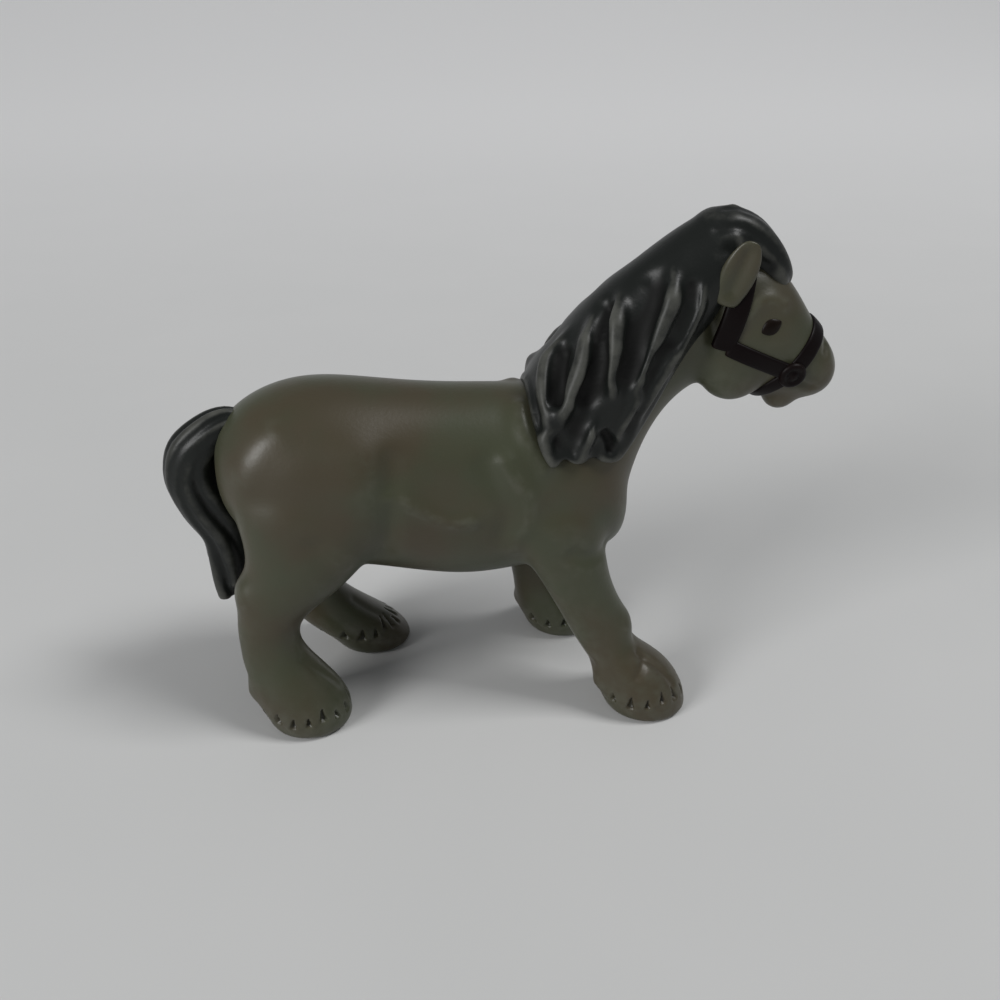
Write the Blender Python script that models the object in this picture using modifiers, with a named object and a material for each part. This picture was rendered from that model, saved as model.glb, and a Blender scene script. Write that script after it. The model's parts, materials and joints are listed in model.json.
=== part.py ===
"""A small moulded plastic pony figure, standing in mid stride.

The nose points along +X, the pony's left is +Y and up is +Z. The origin is on the
ground, under the middle of the figure. Lengths are in metres.

Two smooth skins are made first from lofted forms: one of the trunk and legs, and a
finer one of the neck and head. The body pieces are these skins, cut apart along
narrow seams. Mane, forelock, tail, ears and halter lie on the skins with a small gap.
"""

import math

import bmesh
import bpy
from mathutils import Matrix, Vector
from mathutils.bvhtree import BVHTree

MM = 0.001

# Sizes of the trunk
TRUNK_LENGTH = 40.5 * MM
TRUNK_DEPTH = 21.4 * MM
TRUNK_WIDTH = 16.6 * MM
BELLY_HEIGHT = 13.3 * MM
RUMP_X = -27.2 * MM

# Sizes of the neck and head
NECK_REACH = 19.5 * MM
NECK_RISE = 28.5 * MM
NECK_WIDTH = 14.0 * MM
HEAD_REACH = 14.6 * MM
HEAD_DEPTH = 16.8 * MM
HEAD_WIDTH = 8.8 * MM
JOWL_RADIUS = 3.7 * MM
CHIN_RADIUS = 1.9 * MM

# Sizes of the legs
HIP_HEIGHT = 27.0 * MM
SHOULDER_HEIGHT = 24.0 * MM
HIP_SPREAD = 9.4 * MM
SHOULDER_SPREAD = 9.0 * MM
HIND_STANCE = 14.0 * MM
FORE_STANCE = 16.0 * MM
FOOT_LENGTH = 9.7 * MM
FOOT_WIDTH = 9.2 * MM
STRIDE = 6.3 * MM

# Sizes of the hair
MANE_THICKNESS = 1.2 * MM
MANE_EDGE_THICKNESS = 0.6 * MM
LOCK_RADIUS = 1.15 * MM
LOCK_LIFT = 0.2 * MM
FORELOCK_WIDTH = 6.8 * MM
FORELOCK_THICKNESS = 3.2 * MM
TAIL_LENGTH = 21.5 * MM
TAIL_SWEEP = 6.3 * MM
TAIL_THICKNESS = 4.4 * MM

# Sizes of the ears, eyes and halter
EAR_LENGTH = 6.9 * MM
EAR_WIDTH = 3.4 * MM
EAR_THICKNESS = 1.5 * MM
EYE_LENGTH = 2.6 * MM
EYE_HEIGHT = 1.8 * MM
EYE_THICKNESS = 1.4 * MM
HEADPIECE_RADIUS = 1.0 * MM
STRAP_RADIUS = 0.9 * MM
STRAP_SINK = 0.3 * MM
RING_RADIUS = 1.1 * MM
RING_WIRE_RADIUS = 0.42 * MM
RING_STAND_OFF = 0.5 * MM

# How the pieces fit
SEAM = 0.3 * MM
HAIR_GAP = 0.4 * MM
NECK_PEG_RADIUS = 2.2 * MM
NECK_PEG_LENGTH = 4.5 * MM
LEG_PEG_RADIUS = 1.1 * MM
LEG_PEG_LENGTH = 3.0 * MM
TAIL_PEG_RADIUS = 0.9 * MM
TAIL_PEG_LENGTH = 4.0 * MM
PEG_ROOT = 1.5 * MM
OVERRUN = 30.0 * MM

# How finely the skins are meshed
BODY_GRAIN = 1.15 * MM
HEAD_GRAIN = 0.9 * MM
HAIR_GRAIN = 0.75 * MM
BODY_FACES_SHARE = 0.42
HAIR_FACES_SHARE = 0.33

# Where the limbs stand on what carries them: (place along it, height)
NECK_BASE_SHARES = (0.66, 0.195)
HEAD_BASE_SHARES = (0.98, 0.453)
HIP_SHARE = 0.183
SHOULDER_SHARE = 0.77
TAIL_ROOT_SHARES = (0.057, 0.846)

# Trunk: place along it, back height, belly height and half width, from rump to chest
TRUNK_SHARES = (
    (-0.030, 0.76, 0.48, 0.170),
    (0.000, 0.87, 0.34, 0.320),
    (0.070, 0.98, 0.20, 0.470),
    (0.190, 1.055, 0.12, 0.550),
    (0.326, 1.03, 0.08, 0.525),
    (0.449, 1.00, 0.02, 0.500),
    (0.573, 0.985, -0.02, 0.505),
    (0.696, 0.98, 0.01, 0.500),
    (0.820, 0.95, 0.07, 0.475),
    (0.906, 0.85, 0.10, 0.430),
    (0.960, 0.68, 0.13, 0.330),
    (0.985, 0.52, 0.24, 0.180),
)

# Neck: crest place and height, throat place and height, half width, from base to poll
NECK_SHARES = (
    (0.00, 0.51, 0.64, 0.00, 0.50),
    (0.18, 0.59, 0.69, 0.18, 0.46),
    (0.35, 0.69, 0.74, 0.33, 0.39),
    (0.55, 0.81, 0.84, 0.47, 0.34),
    (0.78, 0.92, 0.97, 0.55, 0.29),
    (1.00, 1.00, 1.10, 0.58, 0.27),
)

# Head: top place and height, bottom place and height, half width, from poll to muzzle
HEAD_SHARES = (
    (0.02, 0.92, 0.04, 0.34, 0.42),
    (0.31, 0.99, 0.15, 0.185, 0.49),
    (0.56, 0.87, 0.34, 0.125, 0.52),
    (0.71, 0.69, 0.49, 0.09, 0.46),
    (0.815, 0.545, 0.62, 0.07, 0.41),
    (0.92, 0.44, 0.74, 0.05, 0.40),
    (0.99, 0.35, 0.86, 0.06, 0.34),
    (1.01, 0.26, 0.96, 0.13, 0.18),
)

# Legs: height, half length and half width, from the top to below the sole
HIND_SIZE_SHARES = (
    (1.00, 0.78, 0.47),
    (0.85, 0.72, 0.47),
    (0.70, 0.66, 0.45),
    (0.61, 0.61, 0.41),
    (0.535, 0.53, 0.36),
    (0.46, 0.38, 0.32),
    (0.37, 0.32, 0.30),
    (0.28, 0.39, 0.34),
    (0.19, 0.49, 0.43),
    (0.11, 0.52, 0.49),
    (0.04, 0.50, 0.51),
    (-0.05, 0.47, 0.48),
)
FORE_SIZE_SHARES = (
    (1.00, 0.62, 0.43),
    (0.875, 0.56, 0.43),
    (0.79, 0.50, 0.40),
    (0.67, 0.43, 0.36),
    (0.58, 0.39, 0.34),
    (0.46, 0.385, 0.33),
    (0.37, 0.345, 0.32),
    (0.29, 0.335, 0.33),
    (0.21, 0.45, 0.43),
    (0.125, 0.51, 0.50),
    (0.04, 0.505, 0.50),
    (-0.06, 0.47, 0.47),
)

# Legs: how far each level lies in front of the hip or shoulder, as shares of the stride
RIGHT_HIND_SWING_SHARES = (
    -0.03, 0.00, 0.02, -0.20, -0.47, -0.70, -0.76, -0.65, -0.48, -0.29, -0.17, -0.15
)
LEFT_HIND_SWING_SHARES = (
    0.00, 0.10, 0.17, 0.06, -0.09, -0.22, -0.28, -0.20, 0.08, 0.50, 0.86, 0.93
)
RIGHT_FORE_SWING_SHARES = (
    0.00, 0.10, 0.19, 0.37, 0.51, 0.75, 0.86, 1.05, 1.37, 1.52, 1.64, 1.75
)
LEFT_FORE_SWING_SHARES = (
    0.00, 0.03, 0.05, 0.06, 0.08, 0.10, 0.11, 0.16, 0.35, 0.51, 0.64, 0.73
)

# Mane: crest place and height, lower place and height (in the neck's measures), half width
MANE_SHARES = (
    (0.06, 0.555, 0.26, 0.37, 0.41),
    (0.25, 0.720, 0.46, 0.33, 0.43),
    (0.455, 0.900, 0.64, 0.38, 0.39),
    (0.67, 1.000, 0.78, 0.50, 0.34),
    (0.88, 1.115, 0.90, 0.61, 0.28),
    (1.08, 1.180, 1.00, 0.73, 0.24),
    (1.19, 1.180, 1.12, 0.87, 0.19),
)

# Outline of the hair on the side of the neck, from its top rear corner downwards
MANE_EDGE_SHARES = (
    (0.13, 0.66),
    (0.14, 0.56),
    (0.16, 0.48),
    (0.21, 0.39),
    (0.30, 0.41),
    (0.37, 0.39),
    (0.44, 0.42),
    (0.50, 0.39),
    (0.56, 0.42),
    (0.62, 0.46),
    (0.68, 0.52),
    (0.74, 0.57),
    (0.81, 0.64),
    (0.87, 0.68),
    (0.91, 0.76),
    (0.95, 0.88),
    (0.98, 1.00),
    (1.04, 1.09),
    (0.60, 1.25),
    (0.10, 0.90),
)

# Locks of the mane: points along each, as place, height and side in the neck's measures
LOCK_SHARES = (
    (
        (0.30, 0.72, 0.10), (0.23, 0.65, 0.19), (0.19, 0.59, 0.31), (0.18, 0.52, 0.49),
        (0.20, 0.45, 0.55), (0.23, 0.37, 0.55),
    ),
    (
        (0.49, 0.85, 0.09), (0.40, 0.74, 0.31), (0.31, 0.63, 0.49), (0.25, 0.48, 0.56),
        (0.27, 0.38, 0.56),
    ),
    (
        (0.56, 0.90, 0.11), (0.50, 0.76, 0.43), (0.48, 0.59, 0.55), (0.46, 0.50, 0.55),
        (0.41, 0.40, 0.53),
    ),
    (
        (0.80, 0.99, 0.23), (0.68, 0.83, 0.47), (0.62, 0.70, 0.53), (0.52, 0.53, 0.54),
        (0.52, 0.43, 0.50),
    ),
    ((0.85, 0.95, 0.36), (0.78, 0.85, 0.47), (0.69, 0.71, 0.51), (0.63, 0.61, 0.52)),
    (
        (0.92, 1.02, 0.33), (0.91, 0.87, 0.44), (0.85, 0.73, 0.46), (0.68, 0.56, 0.50),
        (0.61, 0.46, 0.49),
    ),
)
LOCK_TAPER_SHARES = (0.45, 1.0, 0.95, 0.35)

# Tail: sweep back from the root, drop below it, half thickness and half width
TAIL_SHARES = (
    (0.00, 0.00, 0.26, 0.26),
    (0.30, -0.01, 0.38, 0.40),
    (0.64, 0.04, 0.48, 0.50),
    (0.95, 0.14, 0.59, 0.54),
    (1.03, 0.27, 0.64, 0.55),
    (0.85, 0.42, 0.60, 0.54),
    (0.60, 0.57, 0.52, 0.50),
    (0.56, 0.71, 0.54, 0.46),
    (0.60, 0.85, 0.52, 0.40),
    (0.66, 0.95, 0.36, 0.28),
)

# Forelock: place and height (in the head's measures), half thickness and half width
FORELOCK_SHARES = (
    (0.14, 1.100, 0.56, 0.38),
    (0.27, 1.070, 0.68, 0.45),
    (0.405, 0.955, 0.66, 0.46),
    (0.500, 0.830, 0.58, 0.43),
    (0.565, 0.730, 0.38, 0.32),
)

# Ear: height above the base, half width and half thickness
EAR_SHARES = (
    (0.00, 0.36, 0.42),
    (0.22, 0.46, 0.50),
    (0.50, 0.50, 0.46),
    (0.76, 0.38, 0.36),
    (0.94, 0.17, 0.20),
)

# Places on the head, in its measures: (place, height) and, for ears, the side
EAR_BASE_SHARE = (0.10, 0.72)
EAR_SIDE_SHARE = 0.44
EAR_LEAN_SHARES = (0.30, 0.18)
EYE_SHARE = (0.425, 0.575)
EYE_TILT = math.radians(28)
JOWL_SHARE = (0.24, 0.325)
JOWL_SIDE_SHARE = 0.27
CHIN_SHARE = (0.64, 0.095)
RING_SHARE = (0.61, 0.29)
STRAP_CORNER_SHARE = (0.13, 0.475)
NOSE_TOP_SHARE = (0.81, 0.52)
CHIN_LOW_SHARE = (0.40, 0.12)
POLL_SHARE = (0.26, 0.95)

# Seams: (side, height) of two points on each leg seam and (place, height) on the neck's
HIND_SEAM_SHARES = ((0.20, 0.00), (0.62, 0.46))
FORE_SEAM_SHARES = ((0.22, 0.00), (0.64, 0.44))
LEG_SEAM_LEVEL_SHARE = 0.22
LEG_PEG_SHARE = 0.36
NECK_SEAM_SHARES = ((0.10, 0.615), (0.72, 0.135))
WAIST_SHARE = 0.52

# Steps along the round paths
RING_STEPS = 16
RING_WIRE_STEPS = 6
WELD_SHARE = 0.01
ARC_STEPS = 16
CHEEK_STEPS = 6
LOCK_STEPS = 4

PLASTIC_COLOUR = (0.080, 0.082, 0.057)
HAIR_COLOUR = (0.018, 0.020, 0.018)
HALTER_COLOUR = (0.010, 0.005, 0.005)
EYE_COLOUR = (0.012, 0.007, 0.005)

parts = bpy.data.collections.new("pony_figure")
cutters = bpy.data.collections.new("cutters")


def clear_scene():
    """Remove what a new Blender scene holds, and link the two collections."""
    for obj in list(bpy.data.objects):
        bpy.data.objects.remove(obj, do_unlink=True)
    for collection in (parts, cutters):
        bpy.context.scene.collection.children.link(collection)


def material(name, colour, roughness):
    """A plastic or paint with one colour."""
    made = bpy.data.materials.new(name)
    made.use_nodes = True
    shader = made.node_tree.nodes["Principled BSDF"]
    shader.inputs["Base Color"].default_value = (*colour, 1.0)
    shader.inputs["Roughness"].default_value = roughness
    shader.inputs["Metallic"].default_value = 0.0
    return made


def new_object(name, mesh, collection):
    """Link a mesh as an object; one in the cutters' collection is only drawn as wire."""
    obj = bpy.data.objects.new(name, mesh)
    collection.objects.link(obj)
    if collection is cutters:
        obj.hide_render = True
        obj.display_type = "WIRE"
    return obj


def mesh_from(bm, name):
    """Turn a bmesh into a mesh with outward faces."""
    bmesh.ops.recalc_face_normals(bm, faces=bm.faces)
    mesh = bpy.data.meshes.new(name)
    bm.to_mesh(mesh)
    bm.free()
    return mesh


def evaluated(obj):
    """The mesh of an object after its modifiers, in world space."""
    depsgraph = bpy.context.evaluated_depsgraph_get()
    mesh = bpy.data.meshes.new_from_object(obj.evaluated_get(depsgraph))
    mesh.transform(obj.matrix_world)
    return mesh


def ellipse(centre, up, side, count):
    """Points of an ellipse with half axes up and side, starting at its top."""
    turns = [2 * math.pi * i / count for i in range(count)]
    return [centre + up * math.cos(t) + side * math.sin(t) for t in turns]


def loft(name, rings, levels):
    """A closed form through rings of equal count, smoothed by subdivision."""
    bm = bmesh.new()
    rows = [[bm.verts.new(point) for point in ring] for ring in rings]
    count = len(rings[0])
    for low, high in zip(rows, rows[1:]):
        for i in range(count):
            j = (i + 1) % count
            bm.faces.new((low[i], low[j], high[j], high[i]))
    bm.faces.new(rows[0])
    bm.faces.new(rows[-1])
    obj = new_object(name, mesh_from(bm, name), cutters)
    smoothing = obj.modifiers.new("smooth", "SUBSURF")
    smoothing.levels = levels
    smoothing.render_levels = levels
    return obj


def ball(name, centre, radii, turn=None, segments=12):
    """An ellipsoid with the given half axes, turned about its own centre."""
    bm = bmesh.new()
    bmesh.ops.create_uvsphere(bm, u_segments=segments, v_segments=segments // 2, radius=1)
    bmesh.ops.transform(bm, matrix=Matrix.Diagonal((*radii, 1)), verts=bm.verts)
    if turn is not None:
        bmesh.ops.transform(bm, matrix=turn.to_4x4(), verts=bm.verts)
    bmesh.ops.translate(bm, vec=centre, verts=bm.verts)
    return new_object(name, mesh_from(bm, name), cutters)


def rod(name, start, end, radius, segments=24):
    """A straight cylinder between two points."""
    axis = end - start
    bm = bmesh.new()
    bmesh.ops.create_cone(
        bm, cap_ends=True, segments=segments, radius1=radius, radius2=radius, depth=axis.length
    )
    turn = Vector((0, 0, 1)).rotation_difference(axis).to_matrix().to_4x4()
    place = Matrix.Translation((start + end) / 2) @ turn
    bmesh.ops.transform(bm, matrix=place, verts=bm.verts)
    return new_object(name, mesh_from(bm, name), cutters)


def prism(name, outline, axis, low, high):
    """A flat outline of vectors, pushed out along axis from low to high."""
    bm = bmesh.new()
    face = bm.faces.new([bm.verts.new(point + axis * low) for point in outline])
    pushed = bmesh.ops.extrude_face_region(bm, geom=[face])
    moved = [item for item in pushed["geom"] if isinstance(item, bmesh.types.BMVert)]
    bmesh.ops.translate(bm, vec=axis * (high - low), verts=moved)
    return new_object(name, mesh_from(bm, name), cutters)


def skin(name, forms, grain, rounds, kept_share):
    """One smooth closed surface around overlapping forms."""
    bm = bmesh.new()
    for form in forms:
        bm.from_mesh(evaluated(form))
    joined = new_object(name + "_forms", mesh_from(bm, name), cutters)
    shrink_wrap = joined.modifiers.new("one surface", "REMESH")
    shrink_wrap.mode = "VOXEL"
    shrink_wrap.voxel_size = grain
    relax = joined.modifiers.new("relax", "SMOOTH")
    relax.factor = 0.5
    relax.iterations = rounds
    thin_out = joined.modifiers.new("fewer faces", "DECIMATE")
    thin_out.ratio = kept_share
    result = new_object(name, evaluated(joined), cutters)
    bpy.data.objects.remove(joined, do_unlink=True)
    return result


def grown(obj, name, margin):
    """A copy of an object's shape, swollen by a margin."""
    copy = new_object(name, evaluated(obj), cutters)
    swell = copy.modifiers.new("swell", "DISPLACE")
    swell.strength = margin
    swell.mid_level = 0.0
    return copy


def combine(obj, other, operation):
    """Cut, keep or join a closed shape with another closed shape."""
    step = obj.modifiers.new(operation.lower() + " " + other.name, "BOOLEAN")
    step.operation = operation
    step.object = other
    step.solver = "MANIFOLD"


def piece(name, source, finish):
    """A named piece of the figure with the shape of a working form."""
    obj = new_object(name, evaluated(source), parts)
    obj.data.materials.clear()
    obj.data.materials.append(finish)
    obj.data.shade_smooth()
    obj.data.set_sharp_from_angle(angle=math.radians(40))
    return obj


def clear_flash(obj, grain):
    """Trim the flakes, finer than a grain, that cuts leave where they only graze a shape."""
    bm = bmesh.new()
    bm.from_mesh(evaluated(obj))
    unseen = set(bm.verts)
    while unseen:
        reached = [unseen.pop()]
        for vertex in reached:
            linked = {edge.other_vert(vertex) for edge in vertex.link_edges} & unseen
            unseen -= linked
            reached.extend(linked)
        if max((vertex.co - reached[0].co).length for vertex in reached) < grain:
            bmesh.ops.delete(bm, geom=reached, context="VERTS")
    obj.modifiers.clear()
    bm.to_mesh(obj.data)
    bm.free()


def trunk_place(place, height):
    """A point in the middle plane, in the trunk's measures."""
    return Vector((RUMP_X + place * TRUNK_LENGTH, 0, BELLY_HEIGHT + height * TRUNK_DEPTH))


def neck_place(place, height):
    """A point in the middle plane, in the neck's measures."""
    return trunk_place(*NECK_BASE_SHARES) + Vector((place * NECK_REACH, 0, height * NECK_RISE))


def head_place(place, height):
    """A point in the middle plane, in the head's measures."""
    return neck_place(*HEAD_BASE_SHARES) + Vector((place * HEAD_REACH, 0, height * HEAD_DEPTH))


def trunk_form():
    """The barrel of the body, from rump to chest."""
    rings = []
    for along, back, belly, half_width in TRUNK_SHARES:
        top = trunk_place(along, back)
        bottom = trunk_place(along, belly)
        side = Vector((0, half_width * TRUNK_WIDTH, 0))
        rings.append(ellipse((top + bottom) / 2, (top - bottom) / 2, side, 12))
    return loft("trunk_form", rings, 2)


def ribbed_form(name, table, place, width, thicker, levels):
    """A loft whose sections run from a top point to a bottom point in the middle plane."""
    rings = []
    for top_x, top_z, low_x, low_z, half_width in table:
        top = place(top_x, top_z)
        low = place(low_x, low_z)
        side = Vector((0, half_width * width + thicker, 0))
        rings.append(ellipse((top + low) / 2, (top - low) / 2, side, 12))
    return loft(name, rings, levels)


def leg_form(sizes, swings, height, spread, stance, root_share, side):
    """One leg with its foot, running from inside the body to below the ground."""
    root_x = trunk_place(root_share, 0).x
    rings = []
    for (level, half_length, half_width), swing in zip(sizes, swings):
        reach = spread / 2 + (stance - spread) / 2 * (1 - max(level, 0))
        centre = Vector((root_x + swing * STRIDE, side * reach, level * height))
        ahead = Vector((half_length * FOOT_LENGTH, 0, 0))
        across = Vector((0, half_width * FOOT_WIDTH, 0))
        rings.append(ellipse(centre, ahead, across, 10))
    return loft("leg_form", rings, 2)


def on_surface(tree, place, side):
    """The point of a skin seen from one side at a place in the middle plane."""
    outside = place + Vector((0, side * OVERRUN, 0))
    point, normal, _, _ = tree.ray_cast(outside, Vector((0, -side, 0)))
    return point, normal


def tube(name, points, radii):
    """A round band through points, with its own radius at each."""
    data = bpy.data.curves.new(name, "CURVE")
    data.dimensions = "3D"
    data.bevel_depth = 1.0
    data.bevel_resolution = 2
    data.use_fill_caps = True
    spline = data.splines.new("POLY")
    spline.points.add(len(points) - 1)
    for knot, point, radius in zip(spline.points, points, radii):
        knot.co = (*point, 1)
        knot.radius = radius
    obj = new_object(name, data, cutters)
    mesh = evaluated(obj)
    bpy.data.objects.remove(obj, do_unlink=True)
    bm = bmesh.new()
    bm.from_mesh(mesh)
    bmesh.ops.remove_doubles(bm, verts=bm.verts, dist=WELD_SHARE * RING_WIRE_RADIUS)
    return new_object(name, mesh_from(bm, name), cutters)


def smooth_path(points, steps):
    """More points on a smooth curve through the given ones."""
    ends = [2 * points[0] - points[1], *points, 2 * points[-1] - points[-2]]
    result = []
    for a, b, c, d in zip(ends, ends[1:], ends[2:], ends[3:]):
        for i in range(steps):
            t = i / steps
            result.append(
                b + (c - a) * t / 2
                + (2 * a - 5 * b + 4 * c - d) * t**2 / 2
                + (3 * b - a - 3 * c + d) * t**3 / 2
            )
    return [*result, points[-1]]


def body_forms():
    """The overlapping forms of trunk, neck, head and legs."""
    trunk = trunk_form()
    neck = ribbed_form("neck_form", NECK_SHARES, neck_place, NECK_WIDTH, 0, 2)
    head = ribbed_form("head_form", HEAD_SHARES, head_place, HEAD_WIDTH, 0, 2)
    jowls = []
    for side in (-1, 1):
        centre = head_place(*JOWL_SHARE) + Vector((0, side * JOWL_SIDE_SHARE * HEAD_WIDTH, 0))
        radii = (JOWL_RADIUS, JOWL_RADIUS / 2, JOWL_RADIUS)
        jowls.append(ball("jowl_form", centre, radii))
    chin = ball("chin_form", head_place(*CHIN_SHARE), (CHIN_RADIUS,) * 3)
    legs = [
        leg_form(HIND_SIZE_SHARES, swings, HIP_HEIGHT, HIP_SPREAD, HIND_STANCE, HIP_SHARE, side)
        for swings, side in ((RIGHT_HIND_SWING_SHARES, -1), (LEFT_HIND_SWING_SHARES, 1))
    ]
    legs += [
        leg_form(
            FORE_SIZE_SHARES, swings, SHOULDER_HEIGHT,
            SHOULDER_SPREAD, FORE_STANCE, SHOULDER_SHARE, side,
        )
        for swings, side in ((RIGHT_FORE_SWING_SHARES, -1), (LEFT_FORE_SWING_SHARES, 1))
    ]
    body = skin("body_skin", [trunk, neck, *legs], BODY_GRAIN, 3, BODY_FACES_SHARE)
    bare = [trunk, neck, head, chin, *jowls]
    face = skin("head_skin", bare, HEAD_GRAIN, 3, BODY_FACES_SHARE)
    seat = skin("hair_seat", bare, BODY_GRAIN, 3, HAIR_FACES_SHARE)
    return body, face, seat


def leg_region(name, seam, front, side, margin):
    """The space that one leg fills, below and outside its seam."""
    inner, outer = [
        Vector((0, side * across * TRUNK_WIDTH, trunk_place(0, up).z)) for across, up in seam
    ]
    slope = (outer - inner).normalized()
    inward = Vector((0, -side * slope.z, abs(slope.y)))
    shift = inward * margin
    far = outer + slope * OVERRUN
    below = Vector((0, 0, -OVERRUN))
    level = inner.z - LEG_SEAM_LEVEL_SHARE * BELLY_HEIGHT
    outline = [
        Vector((0, 0, level)),
        inner + shift,
        far + shift,
        Vector((0, far.y, 0)) + below,
        below,
    ]
    waist = trunk_place(WAIST_SHARE, 0).x
    low, high = (waist, waist + 2 * OVERRUN) if front else (waist - 2 * OVERRUN, waist)
    middle = inner.lerp(outer, LEG_PEG_SHARE)
    return prism(name, outline, Vector((1, 0, 0)), low, high), middle, inward


def neck_region(name, margin):
    """The space in front of and above the neck's seam."""
    crest, chest = [neck_place(*share) for share in NECK_SEAM_SHARES]
    down = (chest - crest).normalized()
    forward = Vector((-down.z, 0, down.x))
    start = crest - down * OVERRUN - forward * margin
    end = chest + down * OVERRUN - forward * margin
    outline = [start, end, end + forward * 2 * OVERRUN, start + forward * 2 * OVERRUN]
    region = prism(name, outline, Vector((0, 1, 0)), -OVERRUN, OVERRUN)
    return region, (crest + chest) / 2, forward


def peg_and_socket(obj, host, root, direction, radius, length):
    """Give a piece a round peg along direction, and its host the socket for it."""
    start = root - direction * PEG_ROOT
    peg = rod(obj.name + "_peg", start, root + direction * length, radius)
    socket = rod(obj.name + "_socket", start, root + direction * (length + SEAM), radius + SEAM)
    combine(obj, peg, "UNION")
    combine(host, socket, "DIFFERENCE")


def legs_and_torso(body, plastic):
    """Cut the body skin into the torso and the four legs."""
    torso = piece("torso", body, plastic)
    neck_space, _, _ = neck_region("neck_space", SEAM)
    combine(torso, neck_space, "DIFFERENCE")
    ground = prism(
        "ground",
        [Vector((x, y, 0)) * 2 * OVERRUN for x, y in ((-1, -1), (1, -1), (1, 1), (-1, 1))],
        Vector((0, 0, 1)), -OVERRUN, 0,
    )
    plans = (
        ("right_fore_leg", FORE_SEAM_SHARES, True, -1, RIGHT_FORE_SWING_SHARES[3]),
        ("left_fore_leg", FORE_SEAM_SHARES, True, 1, LEFT_FORE_SWING_SHARES[3]),
        ("right_hind_leg", HIND_SEAM_SHARES, False, -1, RIGHT_HIND_SWING_SHARES[3]),
        ("left_hind_leg", HIND_SEAM_SHARES, False, 1, LEFT_HIND_SWING_SHARES[3]),
    )
    for name, seam, front, side, swing in plans:
        own_space, middle, inward = leg_region(name + "_space", seam, front, side, 0)
        wide_space, _, _ = leg_region(name + "_clearance", seam, front, side, SEAM)
        leg = piece(name, body, plastic)
        combine(leg, own_space, "INTERSECT")
        combine(leg, ground, "DIFFERENCE")
        combine(torso, wide_space, "DIFFERENCE")
        root_share = SHOULDER_SHARE if front else HIP_SHARE
        middle.x = trunk_place(root_share, 0).x + swing * STRIDE
        peg_and_socket(leg, torso, middle, inward, LEG_PEG_RADIUS, LEG_PEG_LENGTH)
    return torso


def neck_and_head(face, torso, plastic):
    """Cut the finer skin at the neck's seam, and peg it to the torso."""
    obj = piece("neck_and_head", face, plastic)
    space, middle, forward = neck_region("neck_keep", 0)
    combine(obj, space, "INTERSECT")
    peg_and_socket(obj, torso, middle, -forward, NECK_PEG_RADIUS, NECK_PEG_LENGTH)
    return obj


def eyes(head, tree, dark):
    """Two thin almond inlays, each let into a recess of the head."""
    for side, name in ((-1, "right_eye"), (1, "left_eye")):
        centre, normal = on_surface(tree, head_place(*EYE_SHARE), side)
        turn = Vector((0, side, 0)).rotation_difference(normal).to_matrix()
        tilt = Matrix.Rotation(-EYE_TILT, 3, "Y")
        sizes = (EYE_LENGTH / 2, EYE_THICKNESS / 2, EYE_HEIGHT / 2)
        inlay = ball(name + "_form", centre, sizes, turn @ tilt)
        recess = ball(name + "_recess", centre, [size + SEAM for size in sizes], turn @ tilt)
        piece(name, inlay, dark)
        combine(head, recess, "DIFFERENCE")


def ears(grown_head, plastic):
    """Two leaf shaped ears beside the poll."""
    made = []
    for side, name in ((-1, "right_ear"), (1, "left_ear")):
        base = head_place(*EAR_BASE_SHARE) + Vector((0, side * EAR_SIDE_SHARE * HEAD_WIDTH, 0))
        lean, splay = EAR_LEAN_SHARES
        axis = Vector((lean, side * splay, 1)).normalized()
        across = Vector((1, side * splay, 0)).normalized()
        across = (across - axis * across.dot(axis)).normalized()
        deep = axis.cross(across)
        rings = [
            ellipse(
                base + axis * up * EAR_LENGTH,
                across * half_width * EAR_WIDTH,
                deep * half_thickness * EAR_THICKNESS,
                8,
            )
            for up, half_width, half_thickness in EAR_SHARES
        ]
        ear = piece(name, loft(name + "_form", rings, 1), plastic)
        combine(ear, grown_head, "DIFFERENCE")
        made.append(ear)
    return made


def halter_rings(tree, grown_head, leather):
    """Two rings on the cheeks, and the spaces that the straps leave free for them."""
    spaces = []
    for side, name in ((-1, "right_halter_ring"), (1, "left_halter_ring")):
        point, normal = on_surface(tree, head_place(*RING_SHARE), side)
        turns = [2 * math.pi * i / RING_STEPS for i in range(RING_STEPS)]
        across = normal.orthogonal().normalized()
        along = normal.cross(across)
        bm = bmesh.new()
        rows = []
        for turn in turns:
            spoke = across * math.cos(turn) + along * math.sin(turn)
            centre = point + normal * RING_STAND_OFF + spoke * RING_RADIUS
            wire = ellipse(centre, spoke * RING_WIRE_RADIUS, normal * RING_WIRE_RADIUS, RING_WIRE_STEPS)
            rows.append([bm.verts.new(knot) for knot in wire])
        for row, after in zip(rows, rows[1:] + rows[:1]):
            for i in range(len(row)):
                j = (i + 1) % len(row)
                bm.faces.new((row[i], row[j], after[j], after[i]))
        ring = piece(name, new_object(name + "_form", mesh_from(bm, name), cutters), leather)
        combine(ring, grown_head, "DIFFERENCE")
        reach = RING_RADIUS + RING_WIRE_RADIUS
        spaces.append(
            rod(name + "_space", point - normal * reach, point + normal * 2 * reach, reach + SEAM)
        )
    return spaces


def arc_on_head(tree, centre, crown, turn):
    """Points of the head's surface around centre, from one side over crown to the other."""
    up = (crown - centre).normalized()
    points = []
    for i in range(ARC_STEPS + 1):
        angle = turn * (2 * i / ARC_STEPS - 1)
        spoke = up * math.cos(angle) + Vector((0, math.sin(angle), 0))
        point, normal, _, _ = tree.ray_cast(centre + spoke * HEAD_DEPTH, -spoke)
        points.append(point - normal * STRAP_SINK)
    return points


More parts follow.
